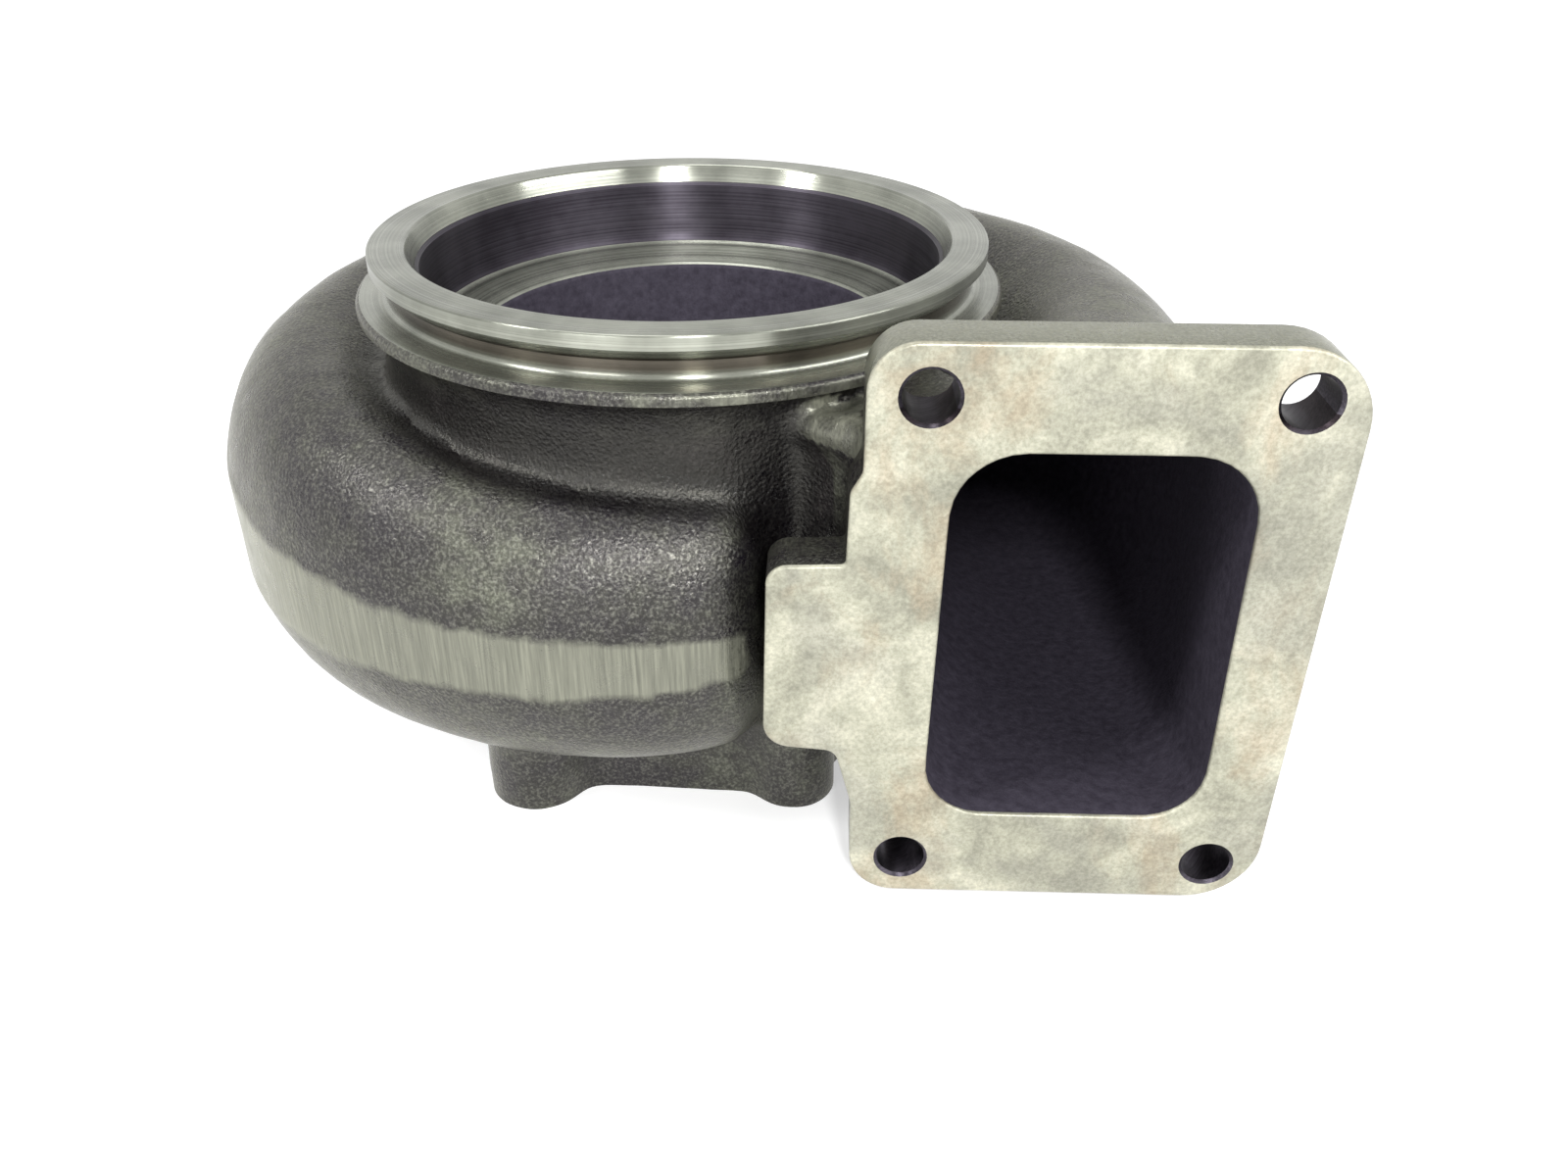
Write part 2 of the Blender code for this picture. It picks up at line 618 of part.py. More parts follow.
def build():
    for thing in list(bpy.data.objects):
        bpy.data.objects.remove(thing)
    housing = bpy.data.collections.new("turbine_housing")
    tools = bpy.data.collections.new("housing_cutters")
    for collection in (housing, tools):
        bpy.context.scene.collection.children.link(collection)
    body = turned("turbine_housing", outer_turned_profile(), housing)
    body.data.materials.append(iron_material())
    join_to(body, scroll_outside(tools), "UNION")
    join_to(body, duct_outside(tools), "UNION")
    join_to(body, duct_shoulder(tools), "UNION")
    join_to(body, inlet_flange(tools), "UNION")
    join_to(body, tab_rib(tools), "UNION")
    join_to(body, base_plate(tools), "UNION")
    base_bosses(body, tools)
    join_to(body, base_facing(tools), "DIFFERENCE")
    join_to(body, gas_passage(tools), "DIFFERENCE")
    join_to(body, inlet_opening(tools), "DIFFERENCE")
    join_to(body, turned("bore", bore_profile(), tools), "DIFFERENCE")
    flange_holes(body, tools)
    tapped_holes(body, tools)
    finish_surface(body)


build()
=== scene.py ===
import math
from contextlib import contextmanager

import bmesh
import bpy
import numpy as np
from mathutils import Matrix, Vector, noise


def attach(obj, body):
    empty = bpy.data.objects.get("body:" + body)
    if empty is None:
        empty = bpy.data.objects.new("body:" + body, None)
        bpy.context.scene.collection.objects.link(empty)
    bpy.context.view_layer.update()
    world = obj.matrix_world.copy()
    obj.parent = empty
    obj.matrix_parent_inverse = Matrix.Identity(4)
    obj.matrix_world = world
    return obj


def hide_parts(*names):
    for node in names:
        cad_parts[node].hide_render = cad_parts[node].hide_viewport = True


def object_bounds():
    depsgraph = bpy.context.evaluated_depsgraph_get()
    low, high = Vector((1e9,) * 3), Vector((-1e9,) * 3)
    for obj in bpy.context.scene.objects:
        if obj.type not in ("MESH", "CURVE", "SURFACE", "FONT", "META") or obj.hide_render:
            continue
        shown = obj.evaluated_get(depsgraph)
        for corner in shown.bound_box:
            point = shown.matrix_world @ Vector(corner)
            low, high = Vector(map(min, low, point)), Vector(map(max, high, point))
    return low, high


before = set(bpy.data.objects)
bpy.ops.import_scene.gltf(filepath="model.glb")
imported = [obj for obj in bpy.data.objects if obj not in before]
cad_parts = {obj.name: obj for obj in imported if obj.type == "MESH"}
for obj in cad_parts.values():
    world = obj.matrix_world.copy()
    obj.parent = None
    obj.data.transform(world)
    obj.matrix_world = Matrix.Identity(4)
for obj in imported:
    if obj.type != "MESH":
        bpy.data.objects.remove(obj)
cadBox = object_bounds()
mm = 0.001
axisX, axisY = -8.0 * mm, -13.4 * mm  # where the turbine axis stands on the floor
mergeDistance = 0.000002  # m; points nearer to each other than this become one

# What the finished casting is made of, in the order of its material slots
slotNames = ["castIron", "turnedIron", "shadedBoreIron", "milledIron", "passageIron"]


def blendValue(a, b, share):
    return a + (b - a) * share


def ease(share):
    share = min(1.0, max(0.0, share))
    return share * share * (3 - 2 * share)


def linearColour(hexText):
    # sRGB hex to the linear numbers that a shader takes
    parts = [int(hexText[i:i + 2], 16) / 255 for i in (1, 3, 5)]
    return [p / 12.92 if p <= 0.04045 else ((p + 0.055) / 1.055) ** 2.4 for p in parts] + [1.0]


def setNode(tree, node, settings, links):
    # settings are the node's own options, input values, or the stops of a colour ramp
    for key, value in (settings or {}).items():
        if key == "stops":
            row = node.color_ramp.elements
            while len(row) < len(value):
                row.new(0.5)
            for stop, (position, colour) in zip(row, value):
                stop.position = position
                stop.color = linearColour(colour) if isinstance(colour, str) else [colour] * 3 + [1.0]
        elif isinstance(key, str) and hasattr(node, key):
            setattr(node, key, value)
        else:
            node.inputs[key].default_value = value
    for key, source in (links or {}).items():
        tree.links.new(source.outputs[0] if hasattr(source, "outputs") else source, node.inputs[key])
    return node


def addNode(tree, kind, settings=None, links=None):
    return setNode(tree, tree.nodes.new(kind), settings, links)


@contextmanager
def opened(mesh):
    # a mesh while its points and faces are edited
    bm = bmesh.new()
    bm.from_mesh(mesh)
    yield bm
    bm.to_mesh(mesh)
    bm.free()


def giveFinish(mesh, finish):
    # every mesh carries all the materials, so a slot means the same when shapes are joined or cut
    mesh.materials.clear()
    for material in materials:
        mesh.materials.append(material)
    mesh.polygons.foreach_set("material_index", [slotNames.index(finish)] * len(mesh.polygons))


def meshObject(name, points, faces, finish="castIron"):
    mesh = bpy.data.meshes.new(name)
    mesh.from_pydata([tuple(p) for p in points], [], faces)
    giveFinish(mesh, finish)
    thing = bpy.data.objects.new(name, mesh)
    bpy.context.scene.collection.objects.link(thing)
    return thing


def outward(thing):
    with opened(thing.data) as bm:
        bmesh.ops.remove_doubles(bm, verts=bm.verts, dist=mergeDistance)
        bmesh.ops.recalc_face_normals(bm, faces=bm.faces)
    return thing


def loft(name, rings, finish="castIron"):
    # closed solid through rings of equally many points
    count, last = len(rings[0]), len(rings) - 1
    faces = [(k * count + i, k * count + j, (k + 1) * count + j, (k + 1) * count + i)
             for k in range(last) for i, j in zip(range(count), [*range(1, count), 0])]
    faces += [range(count), range(last * count, (last + 1) * count)]
    return outward(meshObject(name, [p for ring in rings for p in ring], faces, finish))


def held(profile):
    # rings close to both ends of each long face keep its shading flat
    near = 0.15  # mm
    out = [profile[0]]
    for a, b in zip(profile, profile[1:]):
        share = near / math.dist(a, b)
        if share < 0.12:
            out += [(blendValue(a[0], b[0], s), blendValue(a[1], b[1], s)) for s in (share, 1 - share)]
        out.append(b)
    return out


def newTree(name, sockets):
    # a Geometry Nodes tree with these named inputs, and its inputs' sockets
    tree = bpy.data.node_groups.new(name, "GeometryNodeTree")
    for socket, kind in sockets.items():
        tree.interface.new_socket(socket, in_out="INPUT", socket_type="NodeSocket" + kind)
    tree.interface.new_socket("Geometry", in_out="OUTPUT", socket_type="NodeSocketGeometry")
    return tree, addNode(tree, "NodeGroupInput").outputs


def endTree(tree, shape, finish):
    solid = addNode(tree, "GeometryNodeRealizeInstances", None, {"Geometry": shape})
    dressed = addNode(tree, "GeometryNodeSetMaterial", None, {"Geometry": solid, "Material": finish})
    addNode(tree, "NodeGroupOutput", None, {0: dressed})
    return tree


def runTree(thing, tree, values):
    modifier = thing.modifiers.new(tree.name, "NODES")
    modifier.node_group = tree
    for item in tree.interface.items_tree:
        if item.in_out == "INPUT" and item.name in values:
            modifier[item.identifier] = values[item.name]
    return settle(thing)


def latheTree():
    # turns an outline round the Z axis: a grid with one column for each point of it and one row for each step
    tree, given = newTree("lathe", {"Outline": "Geometry", "Steps": "Int", "Centre": "Vector", "Finish": "Material"})
    size = addNode(tree, "GeometryNodeAttributeDomainSize", None, {"Geometry": given["Outline"]})
    rows = addNode(tree, "ShaderNodeMath", {"operation": "ADD", 1: 1.0}, {0: given["Steps"]})
    grid = addNode(tree, "GeometryNodeMeshGrid", None, {"Vertices X": size.outputs["Point Count"], "Vertices Y": rows})
    number = addNode(tree, "GeometryNodeInputIndex")
    column = addNode(tree, "ShaderNodeMath", {"operation": "DIVIDE"}, {0: number, 1: rows})
    column = addNode(tree, "ShaderNodeMath", {"operation": "FLOOR"}, {0: column})
    row = addNode(tree, "ShaderNodeMath", {"operation": "FLOORED_MODULO"}, {0: number, 1: rows})
    share = addNode(tree, "ShaderNodeMath", {"operation": "DIVIDE"}, {0: row, 1: given["Steps"]})
    turn = addNode(tree, "ShaderNodeMath", {"operation": "MULTIPLY", 1: 2 * math.pi}, {0: share})
    place = addNode(tree, "GeometryNodeInputPosition")
    start = addNode(tree, "GeometryNodeSampleIndex", {"data_type": "FLOAT_VECTOR"},
                    {"Geometry": given["Outline"], "Value": place, "Index": column})
    spun = addNode(tree, "ShaderNodeVectorRotate", {"rotation_type": "Z_AXIS"}, {"Vector": start, "Angle": turn})
    spun = addNode(tree, "ShaderNodeVectorMath", {"operation": "ADD"}, {0: spun, 1: given["Centre"]})
    wrapped = addNode(tree, "GeometryNodeSetPosition", None, {"Geometry": grid, "Position": spun})
    closed = addNode(tree, "GeometryNodeMergeByDistance", {"Distance": mergeDistance}, {"Geometry": wrapped})
    return endTree(tree, closed, given["Finish"])


def turned(name, profile, steps, finish="castIron", centre=(axisX, axisY)):
    # solid of revolution; the profile is (radius, height) in mm and ends on the axis
    outline = meshObject(name, [(radius * mm, 0, height * mm) for radius, height in profile], [])
    runTree(outline, bpy.data.node_groups.get("lathe") or latheTree(),
            {"Steps": steps, "Centre": (*centre, 0), "Finish": materials[slotNames.index(finish)]})
    giveFinish(outline.data, finish)
    return outward(outline)


def settle(thing):
    # turns an object's modifiers into plain mesh
    bpy.context.view_layer.update()
    graph = bpy.context.evaluated_depsgraph_get()
    mesh = bpy.data.meshes.new_from_object(thing.evaluated_get(graph))
    thing.modifiers.clear()
    thing.data = mesh
    return thing


def boolean(thing, tool, operation, solver="EXACT"):
    cut = thing.modifiers.new("cut", "BOOLEAN")
    cut.operation = operation
    cut.solver = solver
    cut.object = tool
    cut.material_mode = "INDEX"
    settle(thing)
    bpy.data.objects.remove(tool)
    return thing


def joined(name, things):
    # one mesh from several, with nothing merged
    whole = meshObject(name, [], [])
    with opened(whole.data) as bm:
        for thing in things:
            bm.from_mesh(thing.data)
            bpy.data.objects.remove(thing)
    return whole


def arcPoints(centre, radius, startDegrees, endDegrees, steps):
    out = []
    for i in range(steps + 1):
        turn = math.radians(blendValue(startDegrees, endDegrees, i / steps))
        out.append((centre[0] + radius * math.cos(turn), centre[1] + radius * math.sin(turn)))
    return out


def newMaterial(name):
    material = bpy.data.materials.new(name)
    material.use_nodes = True
    tree = material.node_tree
    place = addNode(tree, "ShaderNodeTexCoord").outputs["Object"]
    return material, tree, tree.nodes["Principled BSDF"], place


def perMetre(sizeMm):
    # the scale that gives a pattern of this size
    return 1.0 / (sizeMm * mm)


# settings of a mix that multiplies two colours
multiplied = {"data_type": "RGBA", "blend_type": "MULTIPLY", 0: 1.0}

cast = {
    "patch": 36.0, "mottle": 6.5, "grain": 0.75,  # mm; real sand grains are near 0.4, too fine to show
    "dark": "#231E28", "middle": "#31302E", "pale": "#5A5D50",
    # shadeTint is painted shade, multiplied in where the hollow share is high
    "bareGrain": "#96968A", "bareShare": 0.36, "shadeTint": "#75667E", "speckle": "#B4B0B4",
    "beltDark": "#6C6D62", "beltMiddle": "#7D7E71", "beltPale": "#8F9081", "brushWidth": 0.7, "brushStretch": 0.04,
    # depth of the grain in mm, and how strongly the skin and the oil on it follow the grain
    "grainDepth": 0.5, "bump": 0.38, "glint": 0.75,
    "oil": 0.30, "oilRoughness": 0.15, "specular": 0.45, "tint": "#FFFEEA",
}


def castIron():
    # Grey iron cast in sand and shot blasted: a dull dark skin, with bare grains that catch the lamps one by one
    material, tree, shader, place = newMaterial("castIron")
    patch, mottle, grain = (
        addNode(tree, "ShaderNodeTexNoise", {"Scale": perMetre(cast[size]), "Detail": detail, "Roughness": uneven},
                {"Vector": place})
        for size, detail, uneven in (("patch", 3, 0.55), ("mottle", 4, 0.6), ("grain", 3, 0.6)))
    mixed = addNode(tree, "ShaderNodeMix", {"data_type": "FLOAT", 0: 0.42}, {2: patch, 3: mottle})
    # painted shade: the hollow share multiplies a purple shade tint into corners, the pocket between the scroll's end
    # and the duct and the neck under the turned step, and thins the bare grains there
    hollow = addNode(tree, "ShaderNodeAttribute", {"attribute_name": "hollow"}).outputs["Fac"]
    body, shadeTint, bare, clean, speckle, dull = (
        addNode(tree, "ShaderNodeValToRGB", {"stops": stops}, {"Fac": source})
        for source, *stops in (
            (mixed, (0.40, cast["dark"]), (0.52, cast["middle"]), (0.64, cast["pale"])),
            (hollow, (0.15, "#FFFFFF"), (0.85, cast["shadeTint"])),
            (grain, (0.46, 0.0), (0.70, cast["bareShare"])),
            (hollow, (0.1, 1.0), (0.6, 0.15)),
            (grain, (0.36, cast["speckle"]), (0.60, "#FFFFFF")),
            (mottle, (0.35, 0.25), (0.65, 0.36))))
    bare = addNode(tree, "ShaderNodeMath", {"operation": "MULTIPLY"}, {0: bare, 1: clean})
    skinTone = addNode(tree, "ShaderNodeMix", multiplied, {6: body, 7: shadeTint}).outputs[2]
    skinTone = addNode(tree, "ShaderNodeMix", {"data_type": "RGBA", 7: linearColour(cast["bareGrain"])},
                       {0: bare, 6: skinTone}).outputs[2]
    skinTone = addNode(tree, "ShaderNodeMix", multiplied, {6: skinTone, 7: speckle}).outputs[2]
    # the belt where a grinding disc took the parting line off, brushed up and down
    ground = addNode(tree, "ShaderNodeAttribute", {"attribute_name": "ground"}).outputs["Fac"]
    upright = addNode(tree, "ShaderNodeMapping", {"Scale": (1.0, 1.0, cast["brushStretch"])}, {"Vector": place})
    brush = addNode(tree, "ShaderNodeTexNoise",
                    {"Scale": perMetre(cast["brushWidth"]), "Detail": 3, "Roughness": 0.65}, {"Vector": upright})
    belt = addNode(tree, "ShaderNodeValToRGB",
                   {"stops": [(0.32, cast["beltDark"]), (0.50, cast["beltMiddle"]), (0.68, cast["beltPale"])]},
                   {"Fac": brush})
    fray = addNode(tree, "ShaderNodeMath", {"operation": "MULTIPLY_ADD", 1: 1.2, 2: -0.6}, {0: mottle})
    frayed = addNode(tree, "ShaderNodeMath", {"operation": "ADD"}, {0: ground, 1: fray})
    share = addNode(tree, "ShaderNodeValToRGB", {"stops": [(0.24, 0.0), (0.80, 0.85)]}, {"Fac": frayed})
    colour = addNode(tree, "ShaderNodeMix", {"data_type": "RGBA"}, {0: share, 6: skinTone, 7: belt}).outputs[2]
    shine = addNode(tree, "ShaderNodeMath", {"operation": "MULTIPLY_ADD", 1: 1.5, 2: 0.3}, {0: bare})
    pits = addNode(tree, "ShaderNodeTexVoronoi", {"Scale": perMetre(cast["grain"] * 1.3)}, {"Vector": place})
    sand = addNode(tree, "ShaderNodeMath", {"operation": "MULTIPLY_ADD", 1: 0.5}, {0: pits, 2: grain})
    lines = addNode(tree, "ShaderNodeMath", {"operation": "MULTIPLY", 1: 0.5}, {0: brush})
    height = addNode(tree, "ShaderNodeMix", {"data_type": "FLOAT"}, {0: share, 2: sand, 3: lines})
    bump, glint = (addNode(tree, "ShaderNodeBump", {"Strength": cast[name], "Distance": cast["grainDepth"] * mm},
                           {"Height": height}) for name in ("bump", "glint"))
    # the coat is a trace of rust oil on the grains: it glints only where a grain happens to face a lamp
    setNode(tree, shader, {"Coat Weight": cast["oil"], "Coat Roughness": cast["oilRoughness"],
                           "Specular IOR Level": cast["specular"], "Specular Tint": linearColour(cast["tint"])},
            {"Base Color": colour, "Metallic": shine, "Roughness": dull, "Normal": bump, "Coat Normal": glint})
    return material


lathed = {
    "mark": 0.5, "band": 3.5, "cloud": 19.0,  # mm; tool marks are really 0.2 apart, too fine to show
    "markDepth": 0.10, "bump": 0.4,
    # brown oil left in the groove of the rim, outside this radius and between these heights, in mm
    "oil": "#9B918D", "oilRadius": 70.0, "oilStart": 118.8, "oilFull": 120.4, "oilTop": 123.2,
}


def turnedIron(name, dark, light, rough, spread):
    # Iron turned on a lathe: fine rings round the axis spread each highlight into a streak across them
    material, tree, shader, place = newMaterial(name)
    centred = addNode(tree, "ShaderNodeMapping", {"Location": (-axisX, -axisY, 0)}, {"Vector": place})
    split = addNode(tree, "ShaderNodeSeparateXYZ", None, {0: centred}).outputs
    level = addNode(tree, "ShaderNodeCombineXYZ", None, {"X": split["X"], "Y": split["Y"]})
    radius = addNode(tree, "ShaderNodeVectorMath", {"operation": "LENGTH"}, {0: level}).outputs["Value"]
    pair = addNode(tree, "ShaderNodeCombineXYZ", None, {"X": radius, "Y": split["Z"]})
    rings, bands, cloud = (
        addNode(tree, "ShaderNodeTexNoise", {"Scale": perMetre(lathed[size]), "Detail": detail, "Roughness": uneven},
                {"Vector": where})
        for size, detail, uneven, where in (("mark", 2, 0.6, pair), ("band", 2, 0.5, pair), ("cloud", 4, 0.6, place)))
    tone = addNode(tree, "ShaderNodeMix", {"data_type": "FLOAT", 0: 0.5}, {2: rings, 3: cloud})
    colour = addNode(tree, "ShaderNodeValToRGB", {"stops": [(0.40, dark), (0.60, light)]}, {"Fac": tone})
    oily = addNode(tree, "ShaderNodeMapRange",
                   {"From Min": lathed["oilStart"] * mm, "From Max": lathed["oilFull"] * mm}, {"Value": split["Z"]})
    for limit, test, where in (("oilTop", "LESS_THAN", split["Z"]), ("oilRadius", "GREATER_THAN", radius)):
        inside = addNode(tree, "ShaderNodeMath", {"operation": test, 1: lathed[limit] * mm}, {0: where})
        oily = addNode(tree, "ShaderNodeMath", {"operation": "MULTIPLY"}, {0: oily, 1: inside})
    colour = addNode(tree, "ShaderNodeMix", {"data_type": "RGBA", "blend_type": "MULTIPLY",
                                             7: linearColour(lathed["oil"])}, {0: oily, 6: colour}).outputs[2]
    gloss = addNode(tree, "ShaderNodeValToRGB", {"stops": [(0.35, rough - 0.04), (0.65, rough + 0.08)]},
                    {"Fac": bands})
    bump = addNode(tree, "ShaderNodeBump", {"Strength": lathed["bump"], "Distance": lathed["markDepth"] * mm},
                   {"Height": rings})
    around = addNode(tree, "ShaderNodeVectorMath", {"operation": "CROSS_PRODUCT", 1: (0, 0, 1)}, {0: level})
    setNode(tree, shader, {"Metallic": 0.95, "Anisotropic": spread, "Anisotropic Rotation": 0.25},
            {"Base Color": colour, "Roughness": gloss, "Normal": bump, "Tangent": around})
    return material


milled = {
    "cloud": 19.0, "stain": 24.0, "wet": 40.0, "fleck": 0.9, "cutter": 0.9,  # mm
    "pale": "#D3D1BE", "middle": "#BBBAA7", "dark": "#9C9B8B", "rust": "#AA977D", "grey": "#949388",
    "fleckDark": "#DADAD8", "cutterStretch": 0.04, "depth": 0.2, "bump": 0.2,
}


def milledIron():
    # Iron face-milled, then stained by coolant and handling: pale and cloudy, with a first bloom of rust
    material, tree, shader, place = newMaterial("milledIron")
    moved = addNode(tree, "ShaderNodeMapping", {"Location": (0.3, 0.1, 0.2), "Scale": (1, 1, 0.7)},
                    {"Vector": place})
    upright = addNode(tree, "ShaderNodeMapping", {"Scale": (1.0, 1.0, milled["cutterStretch"])}, {"Vector": place})
    cloud, stain, wet, flecks, lay = (
        addNode(tree, "ShaderNodeTexNoise", {"Scale": perMetre(milled[size]), "Detail": detail,
                                             "Roughness": uneven, "Distortion": wavy}, {"Vector": where})
        for size, detail, uneven, wavy, where in (
            ("cloud", 5, 0.62, 0.5, place), ("stain", 5, 0.65, 0.6, moved), ("wet", 4, 0.6, 0.4, place),
            ("fleck", 3, 0.7, 0.0, place), ("cutter", 2, 0.5, 0.0, upright)))
    colour, rusty, damp, flecked, dull = (
        addNode(tree, "ShaderNodeValToRGB", {"stops": stops}, {"Fac": source})
        for source, *stops in (
            (cloud, (0.36, milled["dark"]), (0.50, milled["middle"]), (0.63, milled["pale"])),
            (stain, (0.50, 0.0), (0.64, 0.5)),
            (wet, (0.50, 0.0), (0.60, 0.5)),
            (flecks, (0.34, milled["fleckDark"]), (0.66, "#FFFFFF")),
            (cloud, (0.35, 0.36), (0.65, 0.52))))
    for share, tint in ((rusty, "rust"), (damp, "grey")):
        colour = addNode(tree, "ShaderNodeMix", {"data_type": "RGBA", 7: linearColour(milled[tint])},
                         {0: share, 6: colour}).outputs[2]
    colour = addNode(tree, "ShaderNodeMix", multiplied, {6: colour, 7: flecked}).outputs[2]
    height = addNode(tree, "ShaderNodeMath", {"operation": "MULTIPLY_ADD", 1: 0.6}, {0: lay, 2: cloud})
    bump = addNode(tree, "ShaderNodeBump", {"Strength": milled["bump"], "Distance": milled["depth"] * mm},
                   {"Height": height})
    setNode(tree, shader, {"Metallic": 0.4}, {"Base Color": colour, "Roughness": dull, "Normal": bump})
    return material


inside = {"grain": 2.4, "depth": 0.6, "bump": 0.6, "dark": "#302C36", "light": "#44404B"}  # sizes in mm


def passageIron():
    # The as-cast inside that the exhaust gas runs through: dark and dull, where light hardly reaches
    material, tree, shader, place = newMaterial("passageIron")
    grain = addNode(tree, "ShaderNodeTexNoise", {"Scale": perMetre(inside["grain"]), "Detail": 4, "Roughness": 0.65},
                    {"Vector": place})
    colour = addNode(tree, "ShaderNodeValToRGB", {"stops": [(0.3, inside["dark"]), (0.7, inside["light"])]},
                     {"Fac": grain})
    bump = addNode(tree, "ShaderNodeBump", {"Strength": inside["bump"], "Distance": inside["depth"] * mm},
                   {"Height": grain})
    setNode(tree, shader, {"Specular IOR Level": 0.2, "Roughness": 0.8}, {"Base Color": colour, "Normal": bump})
    return material


materials = [
    castIron(),
    # darkest and lightest grey, roughness, and how far the rings spread a highlight
    turnedIron("turnedIron", "#7D7F76", "#A4A69B", 0.24, 0.90),
    # painted shade: a dark copy of the turned iron, for the walls inside the bore and the holes where little light
    # falls
    turnedIron("shadedBoreIron", "#3A363D", "#56525A", 0.44, 0.92),
    milledIron(),
    passageIron(),
]
print("materials made")


# The sections that the lofts of the scroll and the duct run through, all in mm
scroll = {
    # degrees round the axis, then outer radius, crown, underside, belt height, half of belt, valley drop
    "stations": [
        (0, 137.0, 119.5, 16.5, 68.0, 17.0, 19.0),
        (60, 126.5, 118.0, 14.0, 64.0, 17.0, 18.0),
        (120, 125.0, 115.0, 13.5, 61.0, 16.5, 14.0),
        (180, 123.5, 108.5, 15.0, 61.5, 15.0, 10.5),
        (210, 113.8, 104.0, 21.0, 60.5, 12.0, 8.0),
        (240, 102.0, 95.5, 24.0, 59.0, 8.5, 3.0),
        (270, 92.5, 92.0, 25.0, 58.5, 7.0, 1.5),
        (283, 88.5, 91.0, 26.0, 59.5, 6.5, 1.0),
        (288, 79.5, 90.0, 26.5, 60.0, 6.0, 1.0),
        (292, 75.5, 89.5, 27.0, 60.5, 5.5, 1.0),
        (302, 72.5, 88.0, 28.5, 61.0, 4.5, 1.0),
        (315, 69.5, 84.0, 32.0, 61.0, 3.0, 1.0),
    ],
    "stepDegrees": 2.5,
    "coreRadius": 49.0,
    "crownShare": 0.39,
    "valleyRadius": 73.0,
    "innerRadius": 56.0, "innerCorner": 6.0,
    "squareness": 2.05,
}
duct = {
    "sides": (44.5, 130.0),
    "heights": (16.5, 121.0),
    "corner": 14.0,
    "squareness": 3.6,
    "reach": 96.7,  # axis to the flange's face
    "steps": 14,
}
passage = {
    "wall": 7.2, "wallAtTongue": 11.0, "innerRadius": 60.3, "endDegrees": 294, "extraSquareness": 0.9,
    "shoulder": 0.72,  # height of the inner half of the passage at the duct, as a share of the outer half
    "quarterSteps": 14,
}


def stationValue(column, angle):
    rows = scroll["stations"]
    last = len(rows) - 1
    spot = 0
    while spot < last - 1 and angle > rows[spot + 1][0]:
        spot += 1
    x0, x1 = rows[spot][0], rows[spot + 1][0]
    y0, y1 = rows[spot][column], rows[spot + 1][column]

    def slope(i):
        low, high = max(i - 1, 0), min(i + 1, last)
        return (rows[high][column] - rows[low][column]) / (rows[high][0] - rows[low][0])

    t, span = (angle - x0) / (x1 - x0), x1 - x0
    return ((2 * t**3 - 3 * t**2 + 1) * y0 + (t**3 - 2 * t**2 + t) * span * slope(spot)
            + (-2 * t**3 + 3 * t**2) * y1 + (t**3 - t**2) * span * slope(spot + 1))


def scrollAt(angle):
    names = ("outer", "crown", "under", "belt", "beltHalf", "drop")
    at = {name: stationValue(i + 1, angle) for i, name in enumerate(names)}
    at["halfWidth"] = scroll["crownShare"] * (at["outer"] - scroll["coreRadius"])
    at["valley"] = min(scroll["valleyRadius"], at["outer"] - at["halfWidth"] - 2.0)
    at["valleyHeight"] = at["crown"] - at["drop"]
    at["inner"], at["corner"], at["squareness"] = (scroll[k] for k in ("innerRadius", "innerCorner", "squareness"))
    return at


def ductAt(share):
    # the section changes from the scroll's first one to the duct's own, which is nearly a rectangle
    at = scrollAt(0)
    soft = ease(share)
    (low, high), (floor, roof) = duct["sides"], duct["heights"]
    own = {"outer": high, "crown": roof, "under": floor, "halfWidth": 0.5 * (high - low),
           "valley": low + duct["corner"], "valleyHeight": roof - 1.5, "corner": duct["corner"],
           "squareness": duct["squareness"]}
    for name, value in own.items():
        at[name] = blendValue(at[name], value, soft)
    at["inner"] = blendValue(at["inner"], low, min(1.0, 1.6 * soft))
    return at


def quarter(start, end, steps, power):
    out = []
    for i in range(steps + 1):
        turn = blendValue(start, end, i / steps) * math.pi / 2
        out.append((max(math.cos(turn), 0.0) ** (2 / power), max(math.sin(turn), 0.0) ** (2 / power)))
    return out


def outerSection(at):
    middle = at["outer"] - at["halfWidth"]
    rise, fall = at["crown"] - at["belt"], at["belt"] - at["under"]
    points = [(middle + at["halfWidth"] * c, at["belt"] + rise * s) for c, s in quarter(0, 1, 16, at["squareness"])]
    for i in range(1, 11):
        drop = 0.5 - 0.5 * math.cos(math.pi * i / 10)
        points.append((blendValue(middle, at["valley"], i / 10), blendValue(at["crown"], at["valleyHeight"], drop)))
    width, corner = at["valley"] - at["inner"], at["corner"]
    for c, s in quarter(1, 0, 4, 2)[1:]:
        points.append((at["valley"] - width * c, at["valleyHeight"] - corner * (1 - s)))
    for c, s in quarter(0, 1, 4, 2):
        points.append((at["inner"] + corner * (1 - c), at["under"] + corner * (1 - s)))
    for c, s in quarter(1, 0, 14, at["squareness"])[:-1]:
        points.append((middle + at["halfWidth"] * c, at["belt"] - fall * s))
    return points


